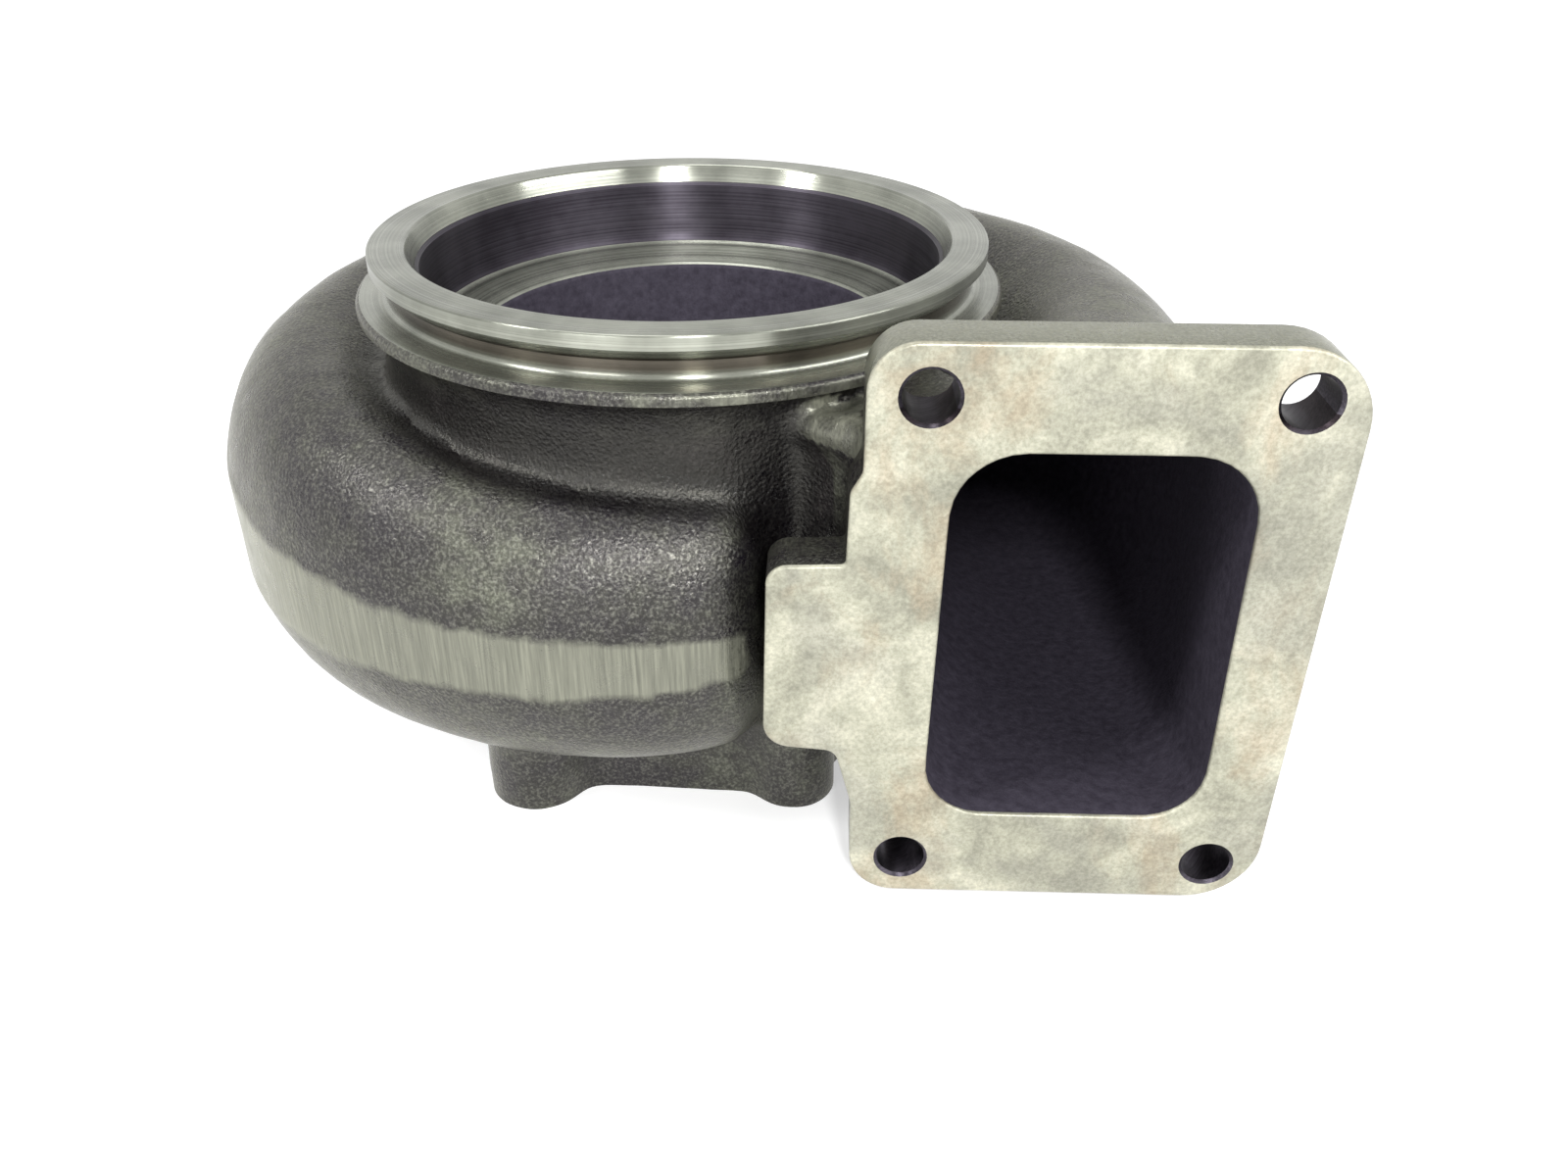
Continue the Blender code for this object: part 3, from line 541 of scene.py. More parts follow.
def passageSection(at, wall, shoulder):
    right, left = at["outer"] - wall, passage["innerRadius"]
    top, bottom = at["crown"] - wall, at["under"] + wall
    middle = max(at["outer"] - at["halfWidth"], 0.5 * (left + right))
    centre, half = 0.5 * (top + bottom), 0.5 * (top - bottom)
    power = at["squareness"] + passage["extraSquareness"]
    steps = passage["quarterSteps"]
    points = [(middle + (right - middle) * c, centre + half * s) for c, s in quarter(0, 1, steps, power)]
    points += [(middle - (middle - left) * c, centre + shoulder * half * s) for c, s in quarter(1, 0, steps, power)[1:]]
    points += [(middle - (middle - left) * c, centre - half * s) for c, s in quarter(0, 1, steps, power)[1:]]
    points += [(middle + (right - middle) * c, centre - half * s) for c, s in quarter(1, 0, steps, power)[1:-1]]
    return points


def onAxis(across, height, degrees, reach=0.0):
    turn = math.radians(degrees)
    return (axisX + across * mm * math.cos(turn), axisY + across * mm * math.sin(turn) - reach * mm, height * mm)


def anglesDown(last, step):
    count = math.ceil(last / step)
    return [last * (1 - i / count) for i in range(count)]


def scrollShell():
    rings = []
    for angle in anglesDown(scroll["stations"][-1][0], scroll["stepDegrees"]) + [0]:
        rings.append([onAxis(a, h, angle) for a, h in outerSection(scrollAt(angle))])
    return loft("scrollShell", rings)


def ductShell():
    rings = []
    end = duct["reach"] - 6.0
    for i in range(duct["steps"] + 1):
        share = i / duct["steps"]
        rings.append([onAxis(a, h, 0, share * end) for a, h in outerSection(ductAt(share))])
    return loft("ductShell", rings)


def millFront(thing, reach):
    # faces that lie wholly in front of this reach belong to the milled face
    for side in thing.data.polygons:
        if max(thing.data.vertices[v].co.y for v in side.vertices) < axisY - reach * mm:
            side.material_index = slotNames.index("milledIron")
    return thing


def gasPassage():
    rings = []
    for angle in anglesDown(passage["endDegrees"], 4):
        share = angle / passage["endDegrees"]
        wall = blendValue(passage["wall"], passage["wallAtTongue"], share**3)
        section = passageSection(scrollAt(angle), wall, blendValue(passage["shoulder"], 1.0, share))
        rings.append([onAxis(a, h, angle) for a, h in section])
    edge = inlet["openingBreak"]
    end = duct["reach"] - edge
    opening = openingReach()
    for i in range(duct["steps"] + 1):
        share = i / duct["steps"]
        section = passageSection(ductAt(share), passage["wall"], blendValue(passage["shoulder"], 1.0, share))
        section = [towardsOpening(opening, p, ease(share * 1.6 - 0.6), 0) for p in section]
        rings.append([onAxis(a, h, 0, share * end) for a, h in section])
    flares = [(edge * (1 - math.cos(turn)), end + edge * math.sin(turn)) for turn in (0.4, 0.8, 1.2, math.pi / 2)]
    for flare, reach in flares + [(edge, duct["reach"] + 6)]:
        rings.append([onAxis(*towardsOpening(opening, p, 1, flare), 0, reach) for p in section])
    return millFront(loft("gasPassage", rings, "passageIron"), end - 0.01)


def openingReach():
    # how far the opening's outline is from its centre, for every degree
    outline = roundedOutline(inlet["opening"], 12)
    dense = [a.lerp(b, k / 40) for a, b in zip(outline, outline[1:] + outline[:1]) for k in range(40)]
    polar = sorted((math.degrees(math.atan2(p.y, p.x)), p.length) for p in dense)
    return np.array(polar)


def towardsOpening(opening, point, share, flare):
    # moves a point of the passage's section onto the opening's outline, then outwards by the flare
    x, y = point[0] - inlet["centreX"], point[1] - inlet["centreHeight"]
    here = math.hypot(x, y)
    there = np.interp(math.degrees(math.atan2(y, x)), opening[:, 0], opening[:, 1], period=360)
    scale = (blendValue(here, there, share) + flare) / here
    return inlet["centreX"] + x * scale, inlet["centreHeight"] + y * scale


# The other rough shapes of the casting; what reaches below the floor is faced off later
neck = {
    "stepRadius": 79.7, "topHeight": 116.8, "bottomOfStep": 115.2, "waistRadius": 74.0, "waistHeight": 101.0,
    "coreRadius": 74.5, "coreTop": 73.0, "coreBottom": 30.0, "rootRadius": 56.0, "rootHeight": 22.0, "rootBottom": -3.0,
}
shoulder = {
    # distance in front of the axis, left side, and height of the left edge
    "stations": [(58, 18, 103), (67, 29.5, 106), (72, 36, 109), (78, 42, 113), (88, 44.5, 116)],
    "right": 62, "top": 118.5, "bottom": 50,
    # the ridge from the neck to the shoulder: three points along it, from the axis, and its radius at each
    "ridge": [((29.4, -67.9, 106.5), 2.2), ((37.5, -73.5, 107.8), 4.4), ((46.5, -78.5, 109.5), 6.4)],
}
base = {
    "firstHoleDegrees": -122.0, "holeCircle": 65.5, "holeRadius": 4.25, "holeDepth": 22.0, "pitch": 1.5,
    "threadDepth": 0.72, "countersink": 1.3, "countersinkDepth": 1.2,
    "plateHalfWidth": 61.0, "plateTop": 29.0, "plateBottom": -5.0, "bossTop": 37.5, "bossBottom": -6.0,
    # each boss as cast: distance of its middle from the axis, and its radius
    "bosses": [(68.2, 13.0), (64.2, 11.2), (66.0, 12.2), (66.0, 12.2), (66.0, 12.2), (67.0, 12.4)],
}


def coreShell():
    n = neck
    profile = [(0, n["topHeight"]), (n["stepRadius"], n["topHeight"]), (n["stepRadius"], n["bottomOfStep"])]
    for i in range(1, 9):
        turn = 0.5 * math.pi * i / 8
        profile.append((blendValue(n["stepRadius"], n["waistRadius"], math.sin(turn)),
                        blendValue(n["waistHeight"], n["bottomOfStep"], math.cos(turn))))
    profile += [(n["coreRadius"], n["coreTop"]), (n["coreRadius"], n["coreBottom"]), (n["rootRadius"], n["rootHeight"]),
                (n["rootRadius"], n["rootBottom"]), (0, n["rootBottom"])]
    return turned("coreShell", profile, 144)


def shoulderShell():
    rings = []
    for reach, left, edge in shoulder["stations"]:
        outline = [(left, shoulder["bottom"]), (left, edge - 3), (left + 1.5, edge), (left + 5, edge + 1.5),
                   (shoulder["right"], shoulder["top"]), (shoulder["right"], shoulder["bottom"])]
        rings.append([onAxis(x, z, 0, reach) for x, z in outline])
    return loft("shoulderShell", rings)


def ridgeShell():
    rings = []
    for (x, y, z), radius in shoulder["ridge"]:
        rings.append([onAxis(x, z + radius * up, 0, -y + radius * out) for out, up in arcPoints((0, 0), 1, 0, 330, 11)])
    return loft("ridgeShell", rings)


def bossAngle(i):
    return base["firstHoleDegrees"] + 360 / len(base["bosses"]) * i


def baseShells():
    b, sides = base, len(base["bosses"])
    radius = b["plateHalfWidth"] / math.cos(math.pi / sides)
    rings = [[onAxis(radius, z, bossAngle(i)) for i in range(sides)] for z in (b["plateBottom"], b["plateTop"])]
    shells = [loft("basePlate", rings)]
    for i, (distance, radius) in enumerate(b["bosses"]):
        profile = [(0, b["bossTop"]), (radius, b["bossTop"]), (radius, b["bossBottom"]), (0, b["bossBottom"])]
        shells.append(turned(f"boss{i}", profile, 40, centre=onAxis(distance, 0, bossAngle(i))[:2]))
    return shells


inlet = {
    "centreX": 91.0, "centreHeight": 68.3, "faceReach": duct["reach"], "thickness": 12.9, "edgeBreak": 0.8,
    # corners as (across, up, radius) from the flange's centre
    "outline": [
        (-47.2, 67.9, 10.0), (-47.2, 41.1, 3.6), (-49.6, 36.9, 3.6), (-50.0, 20.6, 1.2),
        (-66.1, 20.0, 4.6), (-66.9, -25.4, 6.0), (-51.1, -26.8, 3.4), (-47.2, -41.4, 3.6),
        (-46.8, -67.5, 10.7), (46.8, -67.5, 16.0), (47.2, 67.9, 16.0),
    ],
    "opening": [(-29.8, 45.7, 14.5), (-31.0, -43.6, 13.0), (31.2, -43.6, 13.0), (30.0, 45.7, 14.5)],
    "openingBreak": 0.9,
    "boltSpacing": (70.3, 114.1), "boltHoleRadius": 5.5, "boltHoleBreak": 0.7,
    "rib": {"across": (33.0, 50.0), "heights": (46.5, 81.0), "reach": (62.0, 90.0), "corner": 5.0},
}


def roundedOutline(corners, stepsPerQuarter):
    outline = []
    count = len(corners)
    for i, (x, y, radius) in enumerate(corners):
        here = Vector((x, y))
        back = (Vector(corners[i - 1][:2]) - here).normalized()
        ahead = (Vector(corners[(i + 1) % count][:2]) - here).normalized()
        half = 0.5 * back.angle(ahead)
        centre = here + (back + ahead).normalized() * (radius / math.sin(half))
        start = here + back * (radius / math.tan(half)) - centre
        end = here + ahead * (radius / math.tan(half)) - centre
        sweep = start.angle_signed(end)
        steps = max(2, round(abs(sweep) / (math.pi / 2) * stepsPerQuarter))
        for k in range(steps + 1):
            outline.append(centre + Matrix.Rotation(-sweep * k / steps, 2) @ start)
    return outline


def shifted(outline, amount):
    # moves an outline outwards along its own normals
    area = sum(a.x * b.y - b.x * a.y for a, b in zip(outline, outline[1:] + outline[:1]))
    side = 1 if area > 0 else -1
    out = []
    for i, here in enumerate(outline):
        along = (outline[(i + 1) % len(outline)] - outline[i - 1]).normalized()
        out.append(here + Vector((along.y, -along.x)) * amount * side)
    return out


def onFlange(outline, reach):
    return [(axisX + (inlet["centreX"] + p.x) * mm, axisY - reach * mm, (inlet["centreHeight"] + p.y) * mm)
            for p in outline]


def flangePlate():
    outline = roundedOutline(inlet["outline"], 12)
    face, edge, thick = inlet["faceReach"], inlet["edgeBreak"], inlet["thickness"]
    turns = [math.pi / 2 * k / 3 for k in range(4)]
    rings = [onFlange(shifted(outline, -edge * (1 - math.sin(turn))), face - edge * (1 - math.cos(turn)))
             for turn in turns]
    rings += [onFlange(shifted(outline, -edge * (1 - math.cos(turn))), face - thick + edge * (1 - math.sin(turn)))
              for turn in turns]
    return millFront(loft("flangePlate", rings), face - edge - 0.05)


def flangeCore():
    # rough plate inside the milled one, which gives the duct its fillet
    outline = shifted(roundedOutline(inlet["outline"], 6), -1.6)
    face = inlet["faceReach"]
    return loft("flangeCore", [onFlange(outline, face - 3.0), onFlange(outline, face - inlet["thickness"] + 0.1)])


def ribShell():
    rib = inlet["rib"]
    (x0, x1), (z0, z1) = rib["across"], rib["heights"]
    outline = roundedOutline([(x, z, rib["corner"]) for x, z in ((x0, z0), (x1, z0), (x1, z1), (x0, z1))], 4)
    return loft("ribShell", [[onAxis(p.x, p.y, 0, reach) for p in outline] for reach in rib["reach"]])


patternSockets = {"Geometry": "Geometry", "Tool": "Object", "Finish": "Material"}


def patterned(name, tree, given, points, tool, values):
    # a copy of the tool on every point that the tree makes
    shape = addNode(tree, "GeometryNodeObjectInfo", None, {"Object": given["Tool"]}).outputs["Geometry"]
    copies = addNode(tree, "GeometryNodeInstanceOnPoints", None, {"Points": points, "Instance": shape})
    endTree(tree, copies, given["Finish"])
    # the hole walls take the dark copy of the turned iron: painted shade
    values = {"Tool": tool, "Finish": materials[slotNames.index("shadedBoreIron")], **values}
    holes = runTree(meshObject(name, [], []), tree, values)
    bpy.data.objects.remove(tool)
    return holes


def boltHoleTool():
    # one bolt hole, along Y, with its edge broken at the front
    radius, edge, depth = inlet["boltHoleRadius"], inlet["boltHoleBreak"], 30
    turns = [2 * math.pi * i / 40 for i in range(40)]
    rings = [[(r * mm * math.cos(turn), y * mm, r * mm * math.sin(turn)) for turn in turns]
             for r, y in ((radius + edge, -6), (radius + edge, 0.0), (radius, edge), (radius, depth))]
    return loft("boltHoleTool", rings, "shadedBoreIron")


def boltHoles():
    tree, given = newTree("boltPattern", {**patternSockets, "Across": "Float", "Up": "Float", "Centre": "Vector"})
    grid = addNode(tree, "GeometryNodeMeshGrid", {"Vertices X": 2, "Vertices Y": 2},
                   {"Size X": given["Across"], "Size Y": given["Up"]})
    stood = addNode(tree, "GeometryNodeTransform", {"Rotation": (math.pi / 2, 0, 0)},
                    {"Geometry": grid, "Translation": given["Centre"]})
    centre = (axisX + inlet["centreX"] * mm, axisY - inlet["faceReach"] * mm, inlet["centreHeight"] * mm)
    across, up = inlet["boltSpacing"]
    return patterned("boltHoles", tree, given, stood, boltHoleTool(),
                     {"Across": across * mm, "Up": up * mm, "Centre": centre})


def tappedHoleTool():
    # one threaded hole, along Z: rings of crest and root
    radius, depth, pitch = base["holeRadius"], base["holeDepth"], base["pitch"]
    mouth, height = radius + base["countersink"], base["countersinkDepth"]
    rows = [(0, -6), (mouth, -6), (mouth, 0.0), (radius + 0.1, height)]
    while height < depth - 4:
        rows += [(radius + base["threadDepth"], height + 0.45 * pitch), (radius, height + pitch)]
        height += pitch
    rows += [(radius, depth - 2.0), (0, depth)]
    return turned("tappedHoleTool", rows, 24, "shadedBoreIron", centre=(0, 0))


def tappedHoles():
    tree, given = newTree("tappedPattern", {**patternSockets, "Count": "Int", "Radius": "Float",
                                            "Turn": "Vector", "Centre": "Vector"})
    circle = addNode(tree, "GeometryNodeMeshCircle", None, {"Vertices": given["Count"], "Radius": given["Radius"]})
    placed = addNode(tree, "GeometryNodeTransform", None,
                     {"Geometry": circle, "Rotation": given["Turn"], "Translation": given["Centre"]})
    return patterned("tappedHoles", tree, given, placed, tappedHoleTool(), {
        "Count": len(base["bosses"]), "Turn": (0, 0, math.radians(base["firstHoleDegrees"])),
        "Radius": base["holeCircle"] * mm, "Centre": (axisX, axisY, 0)})


outlet = {
    "face": 129.0, "rimRadius": 76.0, "rimHeight": 3.6, "grooveRadius": 72.6, "grooveTop": 6.4,
    "grooveBottom": 10.9, "grooveFillet": 1.4, "stepRadius": 80.2, "stepBottom": 13.8,
    "edgeBreak": 0.45, "stepBreak": 1.5,
}
bore = {
    "mouthRadius": 67.2, "leadInRadius": 65.2, "leadInDepth": 4.4, "recessRadius": 64.4, "recessCorner": 3.4,
    "ledgeOuterDepth": 22.2, "ledgeInnerRadius": 53.2, "ledgeInnerDepth": 25.1, "throatRadius": 46.0,
    "throatTop": 70.0, "throatBottom": 60.0, "shroudRadius": 52.0, "nozzleTop": 39.0, "nozzleBottom": 25.0,
    "nozzleRadius": 64.0, "registerRadius": 48.0, "registerBreak": 1.2,
}


def outletRing():
    o, top = outlet, outlet["face"]
    rim, groove, step = o["rimRadius"], o["grooveRadius"], o["stepRadius"]
    under, roof, floor, bottom = (top - o[k] for k in ("rimHeight", "grooveTop", "grooveBottom", "stepBottom"))
    edge, fillet, corner = o["edgeBreak"], o["grooveFillet"], o["stepBreak"]
    profile = [
        (0, top), (rim - edge, top), *arcPoints((rim - edge, top - edge), edge, 90, 0, 3)[1:],
        (rim, under + 0.3), (rim - 0.3, under), (groove + 0.5, roof + 0.35), (groove, roof - 0.2),
        *arcPoints((groove + fillet, floor + fillet), fillet, 180, 270, 6),
        (step - corner, floor), *arcPoints((step - corner, floor - corner), corner, 90, 0, 5)[1:],
        (step, bottom + 0.2), (step - 0.2, bottom), (0, bottom),
    ]
    ring = turned("outletRing", held(profile), 240, "turnedIron")
    for side in ring.data.polygons:
        if side.center.z < (floor - 0.1) * mm:
            side.material_index = slotNames.index("castIron")
    return ring


def boreTool():
    b, top = bore, outlet["face"]
    mouth, recess, ledge, throat, shroud, nozzle = (
        b[k + "Radius"] for k in ("mouth", "recess", "ledgeInner", "throat", "shroud", "nozzle"))
    leadIn, ledgeTop, ledgeLow = (top - b[k + "Depth"] for k in ("leadIn", "ledgeOuter", "ledgeInner"))
    corner, register, chamfer = b["recessCorner"], b["registerRadius"], b["registerBreak"]
    profile = [
        (0, top + 8), (mouth + 0.3, top + 8), (mouth + 0.3, top), (mouth - 0.1, top - 0.3),
        (b["leadInRadius"], leadIn), (recess, leadIn - 0.8),
        *arcPoints((recess - corner, ledgeTop + corner), corner, 0, -90, 8),
        (ledge + 0.6, ledgeLow + 0.15), (ledge, ledgeLow - 0.3), (ledge - 0.6, ledgeLow - 1.1),
        (throat, b["throatTop"]), (throat, b["throatBottom"]),
    ]
    for share in (i / 7 for i in range(1, 7)):
        profile.append((blendValue(throat, shroud, share**1.8), blendValue(b["throatBottom"], b["nozzleTop"], share)))
    profile += [(shroud + 0.4, b["nozzleTop"]), (nozzle, b["nozzleTop"]), (nozzle, b["nozzleBottom"]),
                (register, b["nozzleBottom"]), (register, chamfer), (register + chamfer, 0), (register + chamfer, -9),
                (0, -9)]
    tool = turned("boreTool", held(profile), 240, "shadedBoreIron")
    # the lead-in, ledge and register chamfer stay light turned iron; the recess wall keeps the dark copy as painted
    # shade, and below the ledge the dark passage skin is painted shade too
    for side in tool.data.polygons:
        heights = [tool.data.vertices[v].co.z / mm for v in side.vertices]
        low, high = min(heights), max(heights)
        onLedge = ledgeLow - 0.5 < low and high < ledgeTop + 1.0
        if low > leadIn - 0.1 or onLedge or high < chamfer + 0.1:
            side.material_index = slotNames.index("turnedIron")
        elif high < ledgeLow:
            side.material_index = slotNames.index("passageIron")
    return tool


def baseFacing():
    half, depth = 0.2, 0.05  # m
    square = ((-half, -half), (half, -half), (half, half), (-half, half))
    return loft("baseFacing", [[(x, y, z) for x, y in square] for z in (-depth, 0.0)], "turnedIron")


# The casting: its rough shapes are joined, then softened, roughened and ground; sizes in mm
skin = {
    "voxel": 1.75,  # between the points of the rough skin
    "softening": 20, "softenBy": 0.6,  # passes and strength of each; more makes larger fillets
    # size and height of the unevenness, and where in the noise it is taken
    "lumps": (24.0, 0.30, (3.1, 0.2, 7.7)),
    "ripple": (6.0, 0.12, (0.4, 5.2, 1.9)),
    "wander": (17.0, 1.4, (8.4, 1.2, 0.6)),  # of the belt's edge
    "sink": 0.3,  # that the skin lies below its drawn shape, so that no lump stands out of the box
    "margin": 0.05,  # that it keeps from the sides of the box
    "beltFade": 2.0, "beltEnd": 23.0, "beltStart": 14.0,
    "hollowPasses": 90, "hollowDepth": 6.0,  # what counts as a corner, and how deep one is that gets the full painted shade
    # the pocket between the scroll's end and the duct, which gets painted shade: its middle and half sizes
    "pocket": (38.0, -66.0, 68.0), "pocketSize": (18.0, 26.0, 24.0),
    "sliver": 0.01,
}


def meshArrays(mesh):
    points = np.zeros(len(mesh.vertices) * 3)
    mesh.vertices.foreach_get("co", points)
    edges = np.zeros(len(mesh.edges) * 2, dtype=np.int64)
    mesh.edges.foreach_get("vertices", edges)
    return points.reshape(-1, 3), edges.reshape(-1, 2)


def neighbourMean(values, edges):
    # for each point, the mean of the points that share an edge with it
    a, b = edges.T
    total = [np.bincount(a, column[b], len(values)) + np.bincount(b, column[a], len(values)) for column in values.T]
    return np.stack(total, axis=1) / np.bincount(edges.ravel(), minlength=len(values))[:, None]


def vertexNormals(mesh):
    normals = np.zeros(len(mesh.vertices) * 3)
    mesh.vertices.foreach_get("normal", normals)
    return normals.reshape(-1, 3)


def fromAxis(points):
    # places from the foot of the axis, in mm
    return (points - (axisX, axisY, 0)).T / mm


def noiseOn(points, size, height, offset):
    return np.array([noise.noise(Vector(p) * perMetre(size) + Vector(offset)) for p in points]) * height


def softened(points, edges):
    # sand-cast fillets: wide at the back and the duct, tighter where these say so
    x, y, z = fromAxis(points)
    angle = np.degrees(np.arctan2(y, x)) % 360
    weight = np.ones((len(points), 1))
    weight[(angle > 250) & (angle < 320) & (z > 40)] = 0.45  # the front of the scroll at the neck
    weight[y < -78] = 0.35  # the flange
    weight[z < 14] = 0.45  # the feet
    weight[(z > 112) & (np.hypot(x, y) < 82)] = 0.3  # under the turned step
    for _ in range(6):
        weight = neighbourMean(weight, edges)
    for _ in range(skin["softening"]):
        points = points + (neighbourMean(points, edges) - points) * (skin["softenBy"] * weight)
    return points


def hollowShare(points, normals, edges):
    # painted shade: 1 in corners, in the pocket between the scroll's end and the duct and on the neck under the turned
    # step, 0 on open faces
    wide = points
    for _ in range(skin["hollowPasses"]):
        wide = neighbourMean(wide, edges)
    hollow = np.einsum("ij,ij->i", wide - points, normals) / mm / skin["hollowDepth"]
    place = fromAxis(points)
    x, y, z = place
    # painted shade in the pocket, strongest at its middle
    fromPocket = np.linalg.norm((place.T - skin["pocket"]) / skin["pocketSize"], axis=1)
    hollow += np.clip(1.6 - fromPocket, 0, 1) * 1.3
    hollow[(z > 106) & (y < -64)] = 0  # the ridge catches the light
    # painted shade on the neck under the turned step; less of it on the front just outside the step
    underStep = neck["stepRadius"] + 4 - np.hypot(x, y)
    hollow[(underStep < 0) & (y < 0) & (z > 70)] *= 0.4
    hollow += np.clip(underStep / 5, 0, 1) * np.clip((z - 80) / 8, 0, 0.7)
    return np.clip(hollow, 0, 1)


def groundBelt(points, wander):
    # where the grinding disc went: each point's radius on the disc's path, and how much of it is ground
    x, y, z = fromAxis(points)
    table = np.arange(0, 316)  # degrees
    rows = []
    for at in map(scrollAt, table):
        sine = min(0.95, at["beltHalf"] / (at["crown"] - at["belt"])) ** (at["squareness"] / 2)
        cosine = math.sqrt(1 - sine * sine) ** (2 / at["squareness"])
        rows.append((at["outer"] - at["halfWidth"] * (1 - cosine), at["belt"], at["beltHalf"]))
    angle = np.degrees(np.arctan2(y, x)) % 360
    limit, middle, half = (np.interp(angle, table, column) for column in zip(*rows))
    inside = half - np.abs(z - middle) + wander
    share = np.clip(inside / skin["beltFade"] * 0.5 + 0.5, 0, 1)
    share *= np.clip((np.hypot(x, y) - limit + 5) / 2, 0, 1)  # only the outside of the scroll
    share *= np.where(y < 0, np.clip((skin["beltEnd"] - x) / 4, 0, 1), 1)  # stops short of the pocket at the duct
    # starts slowly on the duct, and ends faster before the pocket
    start = np.clip((y + 3 * wander) / skin["beltStart"], 0, 1)
    share *= np.where(x > 0, np.where(y > 0, start, share), 1)
    return limit, share


def castBody():
    shells = [scrollShell(), ductShell(), coreShell(), shoulderShell(), ridgeShell(), flangeCore(), ribShell()]
    body = joined("housing", shells + baseShells())
    remesh = body.modifiers.new("skin", "REMESH")
    remesh.mode = "VOXEL"
    remesh.voxel_size = skin["voxel"] * mm
    mesh = settle(body).data
    points, edges = meshArrays(mesh)
    print("rough skin:", len(points), "points")
    points = softened(points, edges)
    mesh.vertices.foreach_set("co", points.ravel())
    mesh.update()
    normals = vertexNormals(mesh)
    hollow = hollowShare(points, normals, edges)
    lumps, ripple, wander = (noiseOn(points, *skin[kind]) for kind in ("lumps", "ripple", "wander"))
    points = points + normals * ((lumps + ripple - skin["sink"]) * mm)[:, None]
    limit, ground = groundBelt(points, wander)
    x, y, _ = fromAxis(points)
    keep = (1 - ground) + ground * (limit - skin["sink"]) / np.hypot(x, y)
    margin = skin["margin"] * mm
    for k, axis in enumerate((axisX, axisY)):
        points[:, k] = np.clip(axis + (points[:, k] - axis) * keep, cadBox[0][k] + margin, cadBox[1][k] - margin)
    mesh.vertices.foreach_set("co", points.ravel())
    for name, values in (("ground", ground), ("hollow", hollow)):
        layer = mesh.attributes.new(name, "FLOAT", "POINT")
        layer.data.foreach_set("value", values.astype(np.float32))
    with opened(mesh) as bm:
        bmesh.ops.triangulate(bm, faces=bm.faces, quad_method="SHORT_EDGE")
    giveFinish(mesh, "castIron")
    return body


body = castBody()
print("rough casting made:", len(body.data.polygons), "faces")

# EXACT drops most of the uneven skin and leaves open edges at the base, so these use MANIFOLD
boolean(body, joined("finishedShapes", [outletRing(), flangePlate()]), "UNION", "MANIFOLD")
print("turned ring and flange joined")
hollowTool = boolean(gasPassage(), boreTool(), "UNION")
for shape in (baseFacing(), tappedHoles(), boltHoles()):
    boolean(hollowTool, shape, "UNION", "MANIFOLD")
print("cutting shape made:", len(hollowTool.data.polygons), "faces")
boolean(body, hollowTool, "DIFFERENCE", "MANIFOLD")
with opened(body.data) as bm:
    bmesh.ops.triangulate(bm, faces=bm.faces)
    bmesh.ops.dissolve_degenerate(bm, dist=skin["sliver"] * mm, edges=bm.edges)  # left by the cuts
    bmesh.ops.triangulate(bm, faces=bm.faces)

# ground clean too, to these shares: the flange's top edge and the side of the turned step; on the ridge behind the
# flange, the same belt colour is a painted highlight
points, _ = meshArrays(body.data)
x, y, z = fromAxis(points)
ground = np.zeros(len(points), dtype=np.float32)
layer = body.data.attributes["ground"].data
layer.foreach_get("value", ground)
onTop = (-y > inlet["faceReach"] - inlet["thickness"] - 0.2) & (z > 122)
# painted highlight: belt colour on the ridge's top, growing towards the flange
ridgeHighlight = (-y > 66) & (-y < 84) & (z > 105) & (z < 113.5) & (x > 28) & (x < 50)
onStep = ((np.abs(np.hypot(x, y) - outlet["stepRadius"]) < 0.3) & (z > neck["bottomOfStep"] - 0.3)
          & (z < outlet["face"] - outlet["grooveBottom"]))
for here, share in ((onTop, np.clip((z - 124) / 8, 0, 1)), (ridgeHighlight, np.clip(x / 8 - 3.5, 0, 0.75)),
                    (onStep, np.clip(0.30 + x / 90, 0.1, 0.45))):
    ground[here] = share[here]
layer.foreach_set("value", ground)

body.data.shade_smooth()
body.data.set_sharp_from_angle(angle=math.radians(34))
print("housing cut:", len(body.data.polygons), "faces")

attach(body, "root")
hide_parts("turbine_housing")


view = {
    # the camera stands this far from the axis and the floor, in mm, and is turned by these angles
    "place": (34.7, -320.9, 219.5), "pitch": 31.235, "yaw": -1.547, "roll": 0.278, "lens": 29.65,
}


stage = {
    "floorHalf": 8.0, "paper": "#DCDCDC",  # m
    "fill": 0.22,  # light from all round
    # brightens the paper for the eye only: near the object and far from it, at these distances in m
    "glow": (0.52, 0.90), "glowReach": (0.25, 1.6),
    # name, direction from the object, distance in m, width and height in m, watts
    "lamps": [
        ("overhead", (-0.20, 0.05, 1.00), 1.2, (0.50, 0.50), 3.0),
        ("front", (0.130, -0.850, 0.530), 1.5, (0.14, 0.24), 14.5),
        ("side", (0.732, -0.389, 0.559), 1.3, (1.05, 0.30), 9.5),
        ("left", (-0.660, -0.380, 0.640), 1.3, (0.20, 0.30), 6.5),
        ("low", (-0.420, -0.890, 0.180), 1.3, (0.40, 0.30), 3.0),
    ],
}


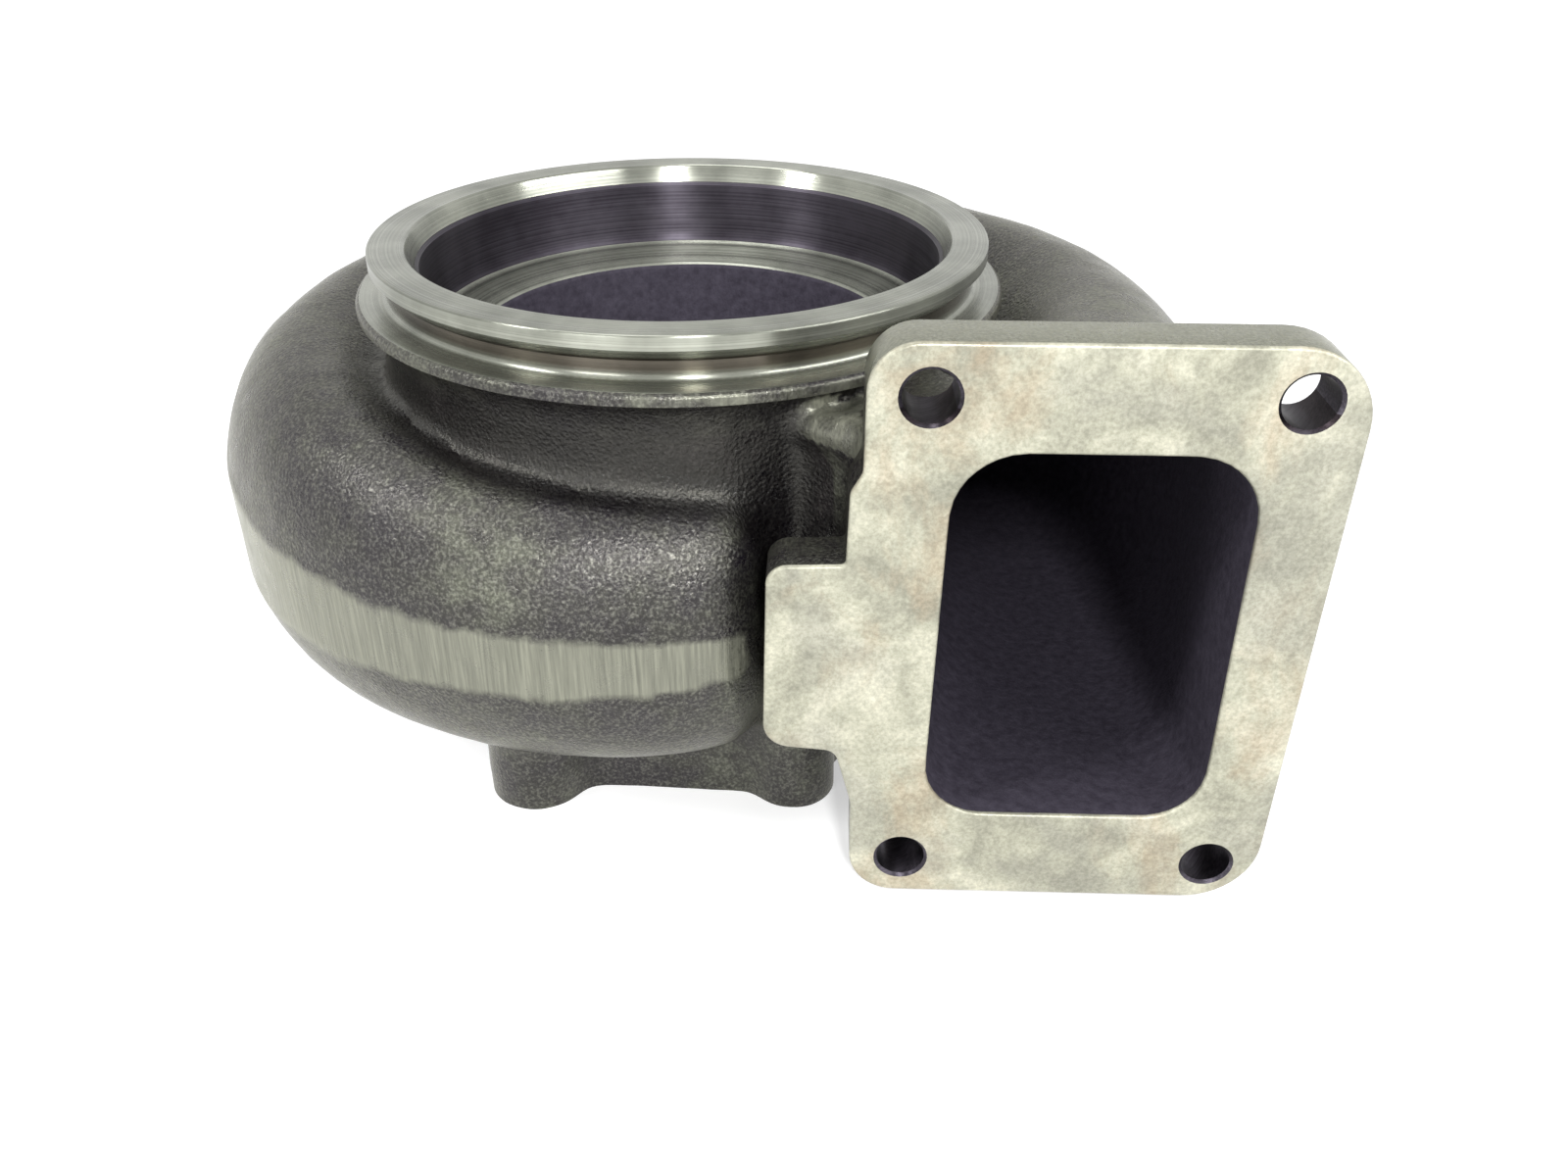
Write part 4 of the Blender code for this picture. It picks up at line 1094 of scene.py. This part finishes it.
def makeCamera():
    pitch, yaw, roll = (math.radians(view[k]) for k in ("pitch", "yaw", "roll"))
    forward = Vector((math.sin(yaw) * math.cos(pitch), math.cos(yaw) * math.cos(pitch), -math.sin(pitch)))
    right = Vector((math.cos(yaw), -math.sin(yaw), 0))
    up = right.cross(forward)
    right, up = right * math.cos(roll) + up * math.sin(roll), up * math.cos(roll) - right * math.sin(roll)
    lens = bpy.data.cameras.new("camera")
    lens.lens, lens.sensor_width, lens.clip_start = view["lens"], 36, 0.01
    camera = bpy.data.objects.new("camera", lens)
    turn = Matrix((right, up, -forward)).transposed().to_4x4()
    turn.translation = (axisX + view["place"][0] * mm, axisY + view["place"][1] * mm, view["place"][2] * mm)
    camera.matrix_world = turn
    bpy.context.scene.collection.objects.link(camera)
    bpy.context.scene.camera = camera


def areaLamp(name, direction, distance, size, power):
    light = bpy.data.lights.new(name, "AREA")
    light.shape, light.size, light.size_y, light.energy = "RECTANGLE", size[0], size[1], power
    lamp = bpy.data.objects.new(name, light)
    way = Vector(direction).normalized()
    lamp.location = Vector((axisX, axisY, 0.08)) + way * distance
    lamp.rotation_euler = way.to_track_quat("Z", "Y").to_euler()
    bpy.context.scene.collection.objects.link(lamp)


def seenDirectly(tree):
    # 1 for what the camera or a mirror-like surface sees, 0 for light that falls on the object
    path = addNode(tree, "ShaderNodeLightPath")
    glossy = addNode(tree, "ShaderNodeMath", {"operation": "MAXIMUM"},
                     {0: path.outputs["Is Glossy Ray"], 1: path.outputs["Is Transmission Ray"]})
    return addNode(tree, "ShaderNodeMath", {"operation": "MAXIMUM"}, {0: path.outputs["Is Camera Ray"], 1: glossy})


def makeStage():
    half = stage["floorHalf"]
    floor = meshObject("floor", [(-half, -half, 0), (half, -half, 0), (half, half, 0), (-half, half, 0)],
                       [(0, 1, 2, 3)])
    paper, tree, shader, place = newMaterial("floorPaper")
    away = addNode(tree, "ShaderNodeVectorMath", {"operation": "LENGTH"}, {0: place}).outputs["Value"]
    (near, far), (nearGlow, farGlow) = stage["glowReach"], stage["glow"]
    level = addNode(tree, "ShaderNodeMapRange",
                    {"From Min": near, "From Max": far, "To Min": nearGlow, "To Max": farGlow}, {"Value": away})
    glow = addNode(tree, "ShaderNodeMath", {"operation": "MULTIPLY"}, {0: seenDirectly(tree), 1: level})
    setNode(tree, shader, {"Base Color": linearColour(stage["paper"]), "Roughness": 1.0, "Specular IOR Level": 0.0,
                           "Emission Color": (1, 1, 1, 1)}, {"Emission Strength": glow})
    floor.data.materials.clear()
    floor.data.materials.append(paper)
    world = bpy.data.worlds.new("studio")
    world.use_nodes = True
    bpy.context.scene.world = world
    tree = world.node_tree
    strength = addNode(tree, "ShaderNodeMix", {"data_type": "FLOAT", 2: stage["fill"], 3: 1.0},
                       {0: seenDirectly(tree)})
    setNode(tree, tree.nodes["Background"], {"Color": (1, 1, 1, 1)}, {"Strength": strength})


makeCamera()
makeStage()
for lamp in stage["lamps"]:
    areaLamp(*lamp)
bpy.context.scene.view_settings.view_transform = "Standard"
print("stage, lamps and camera made")
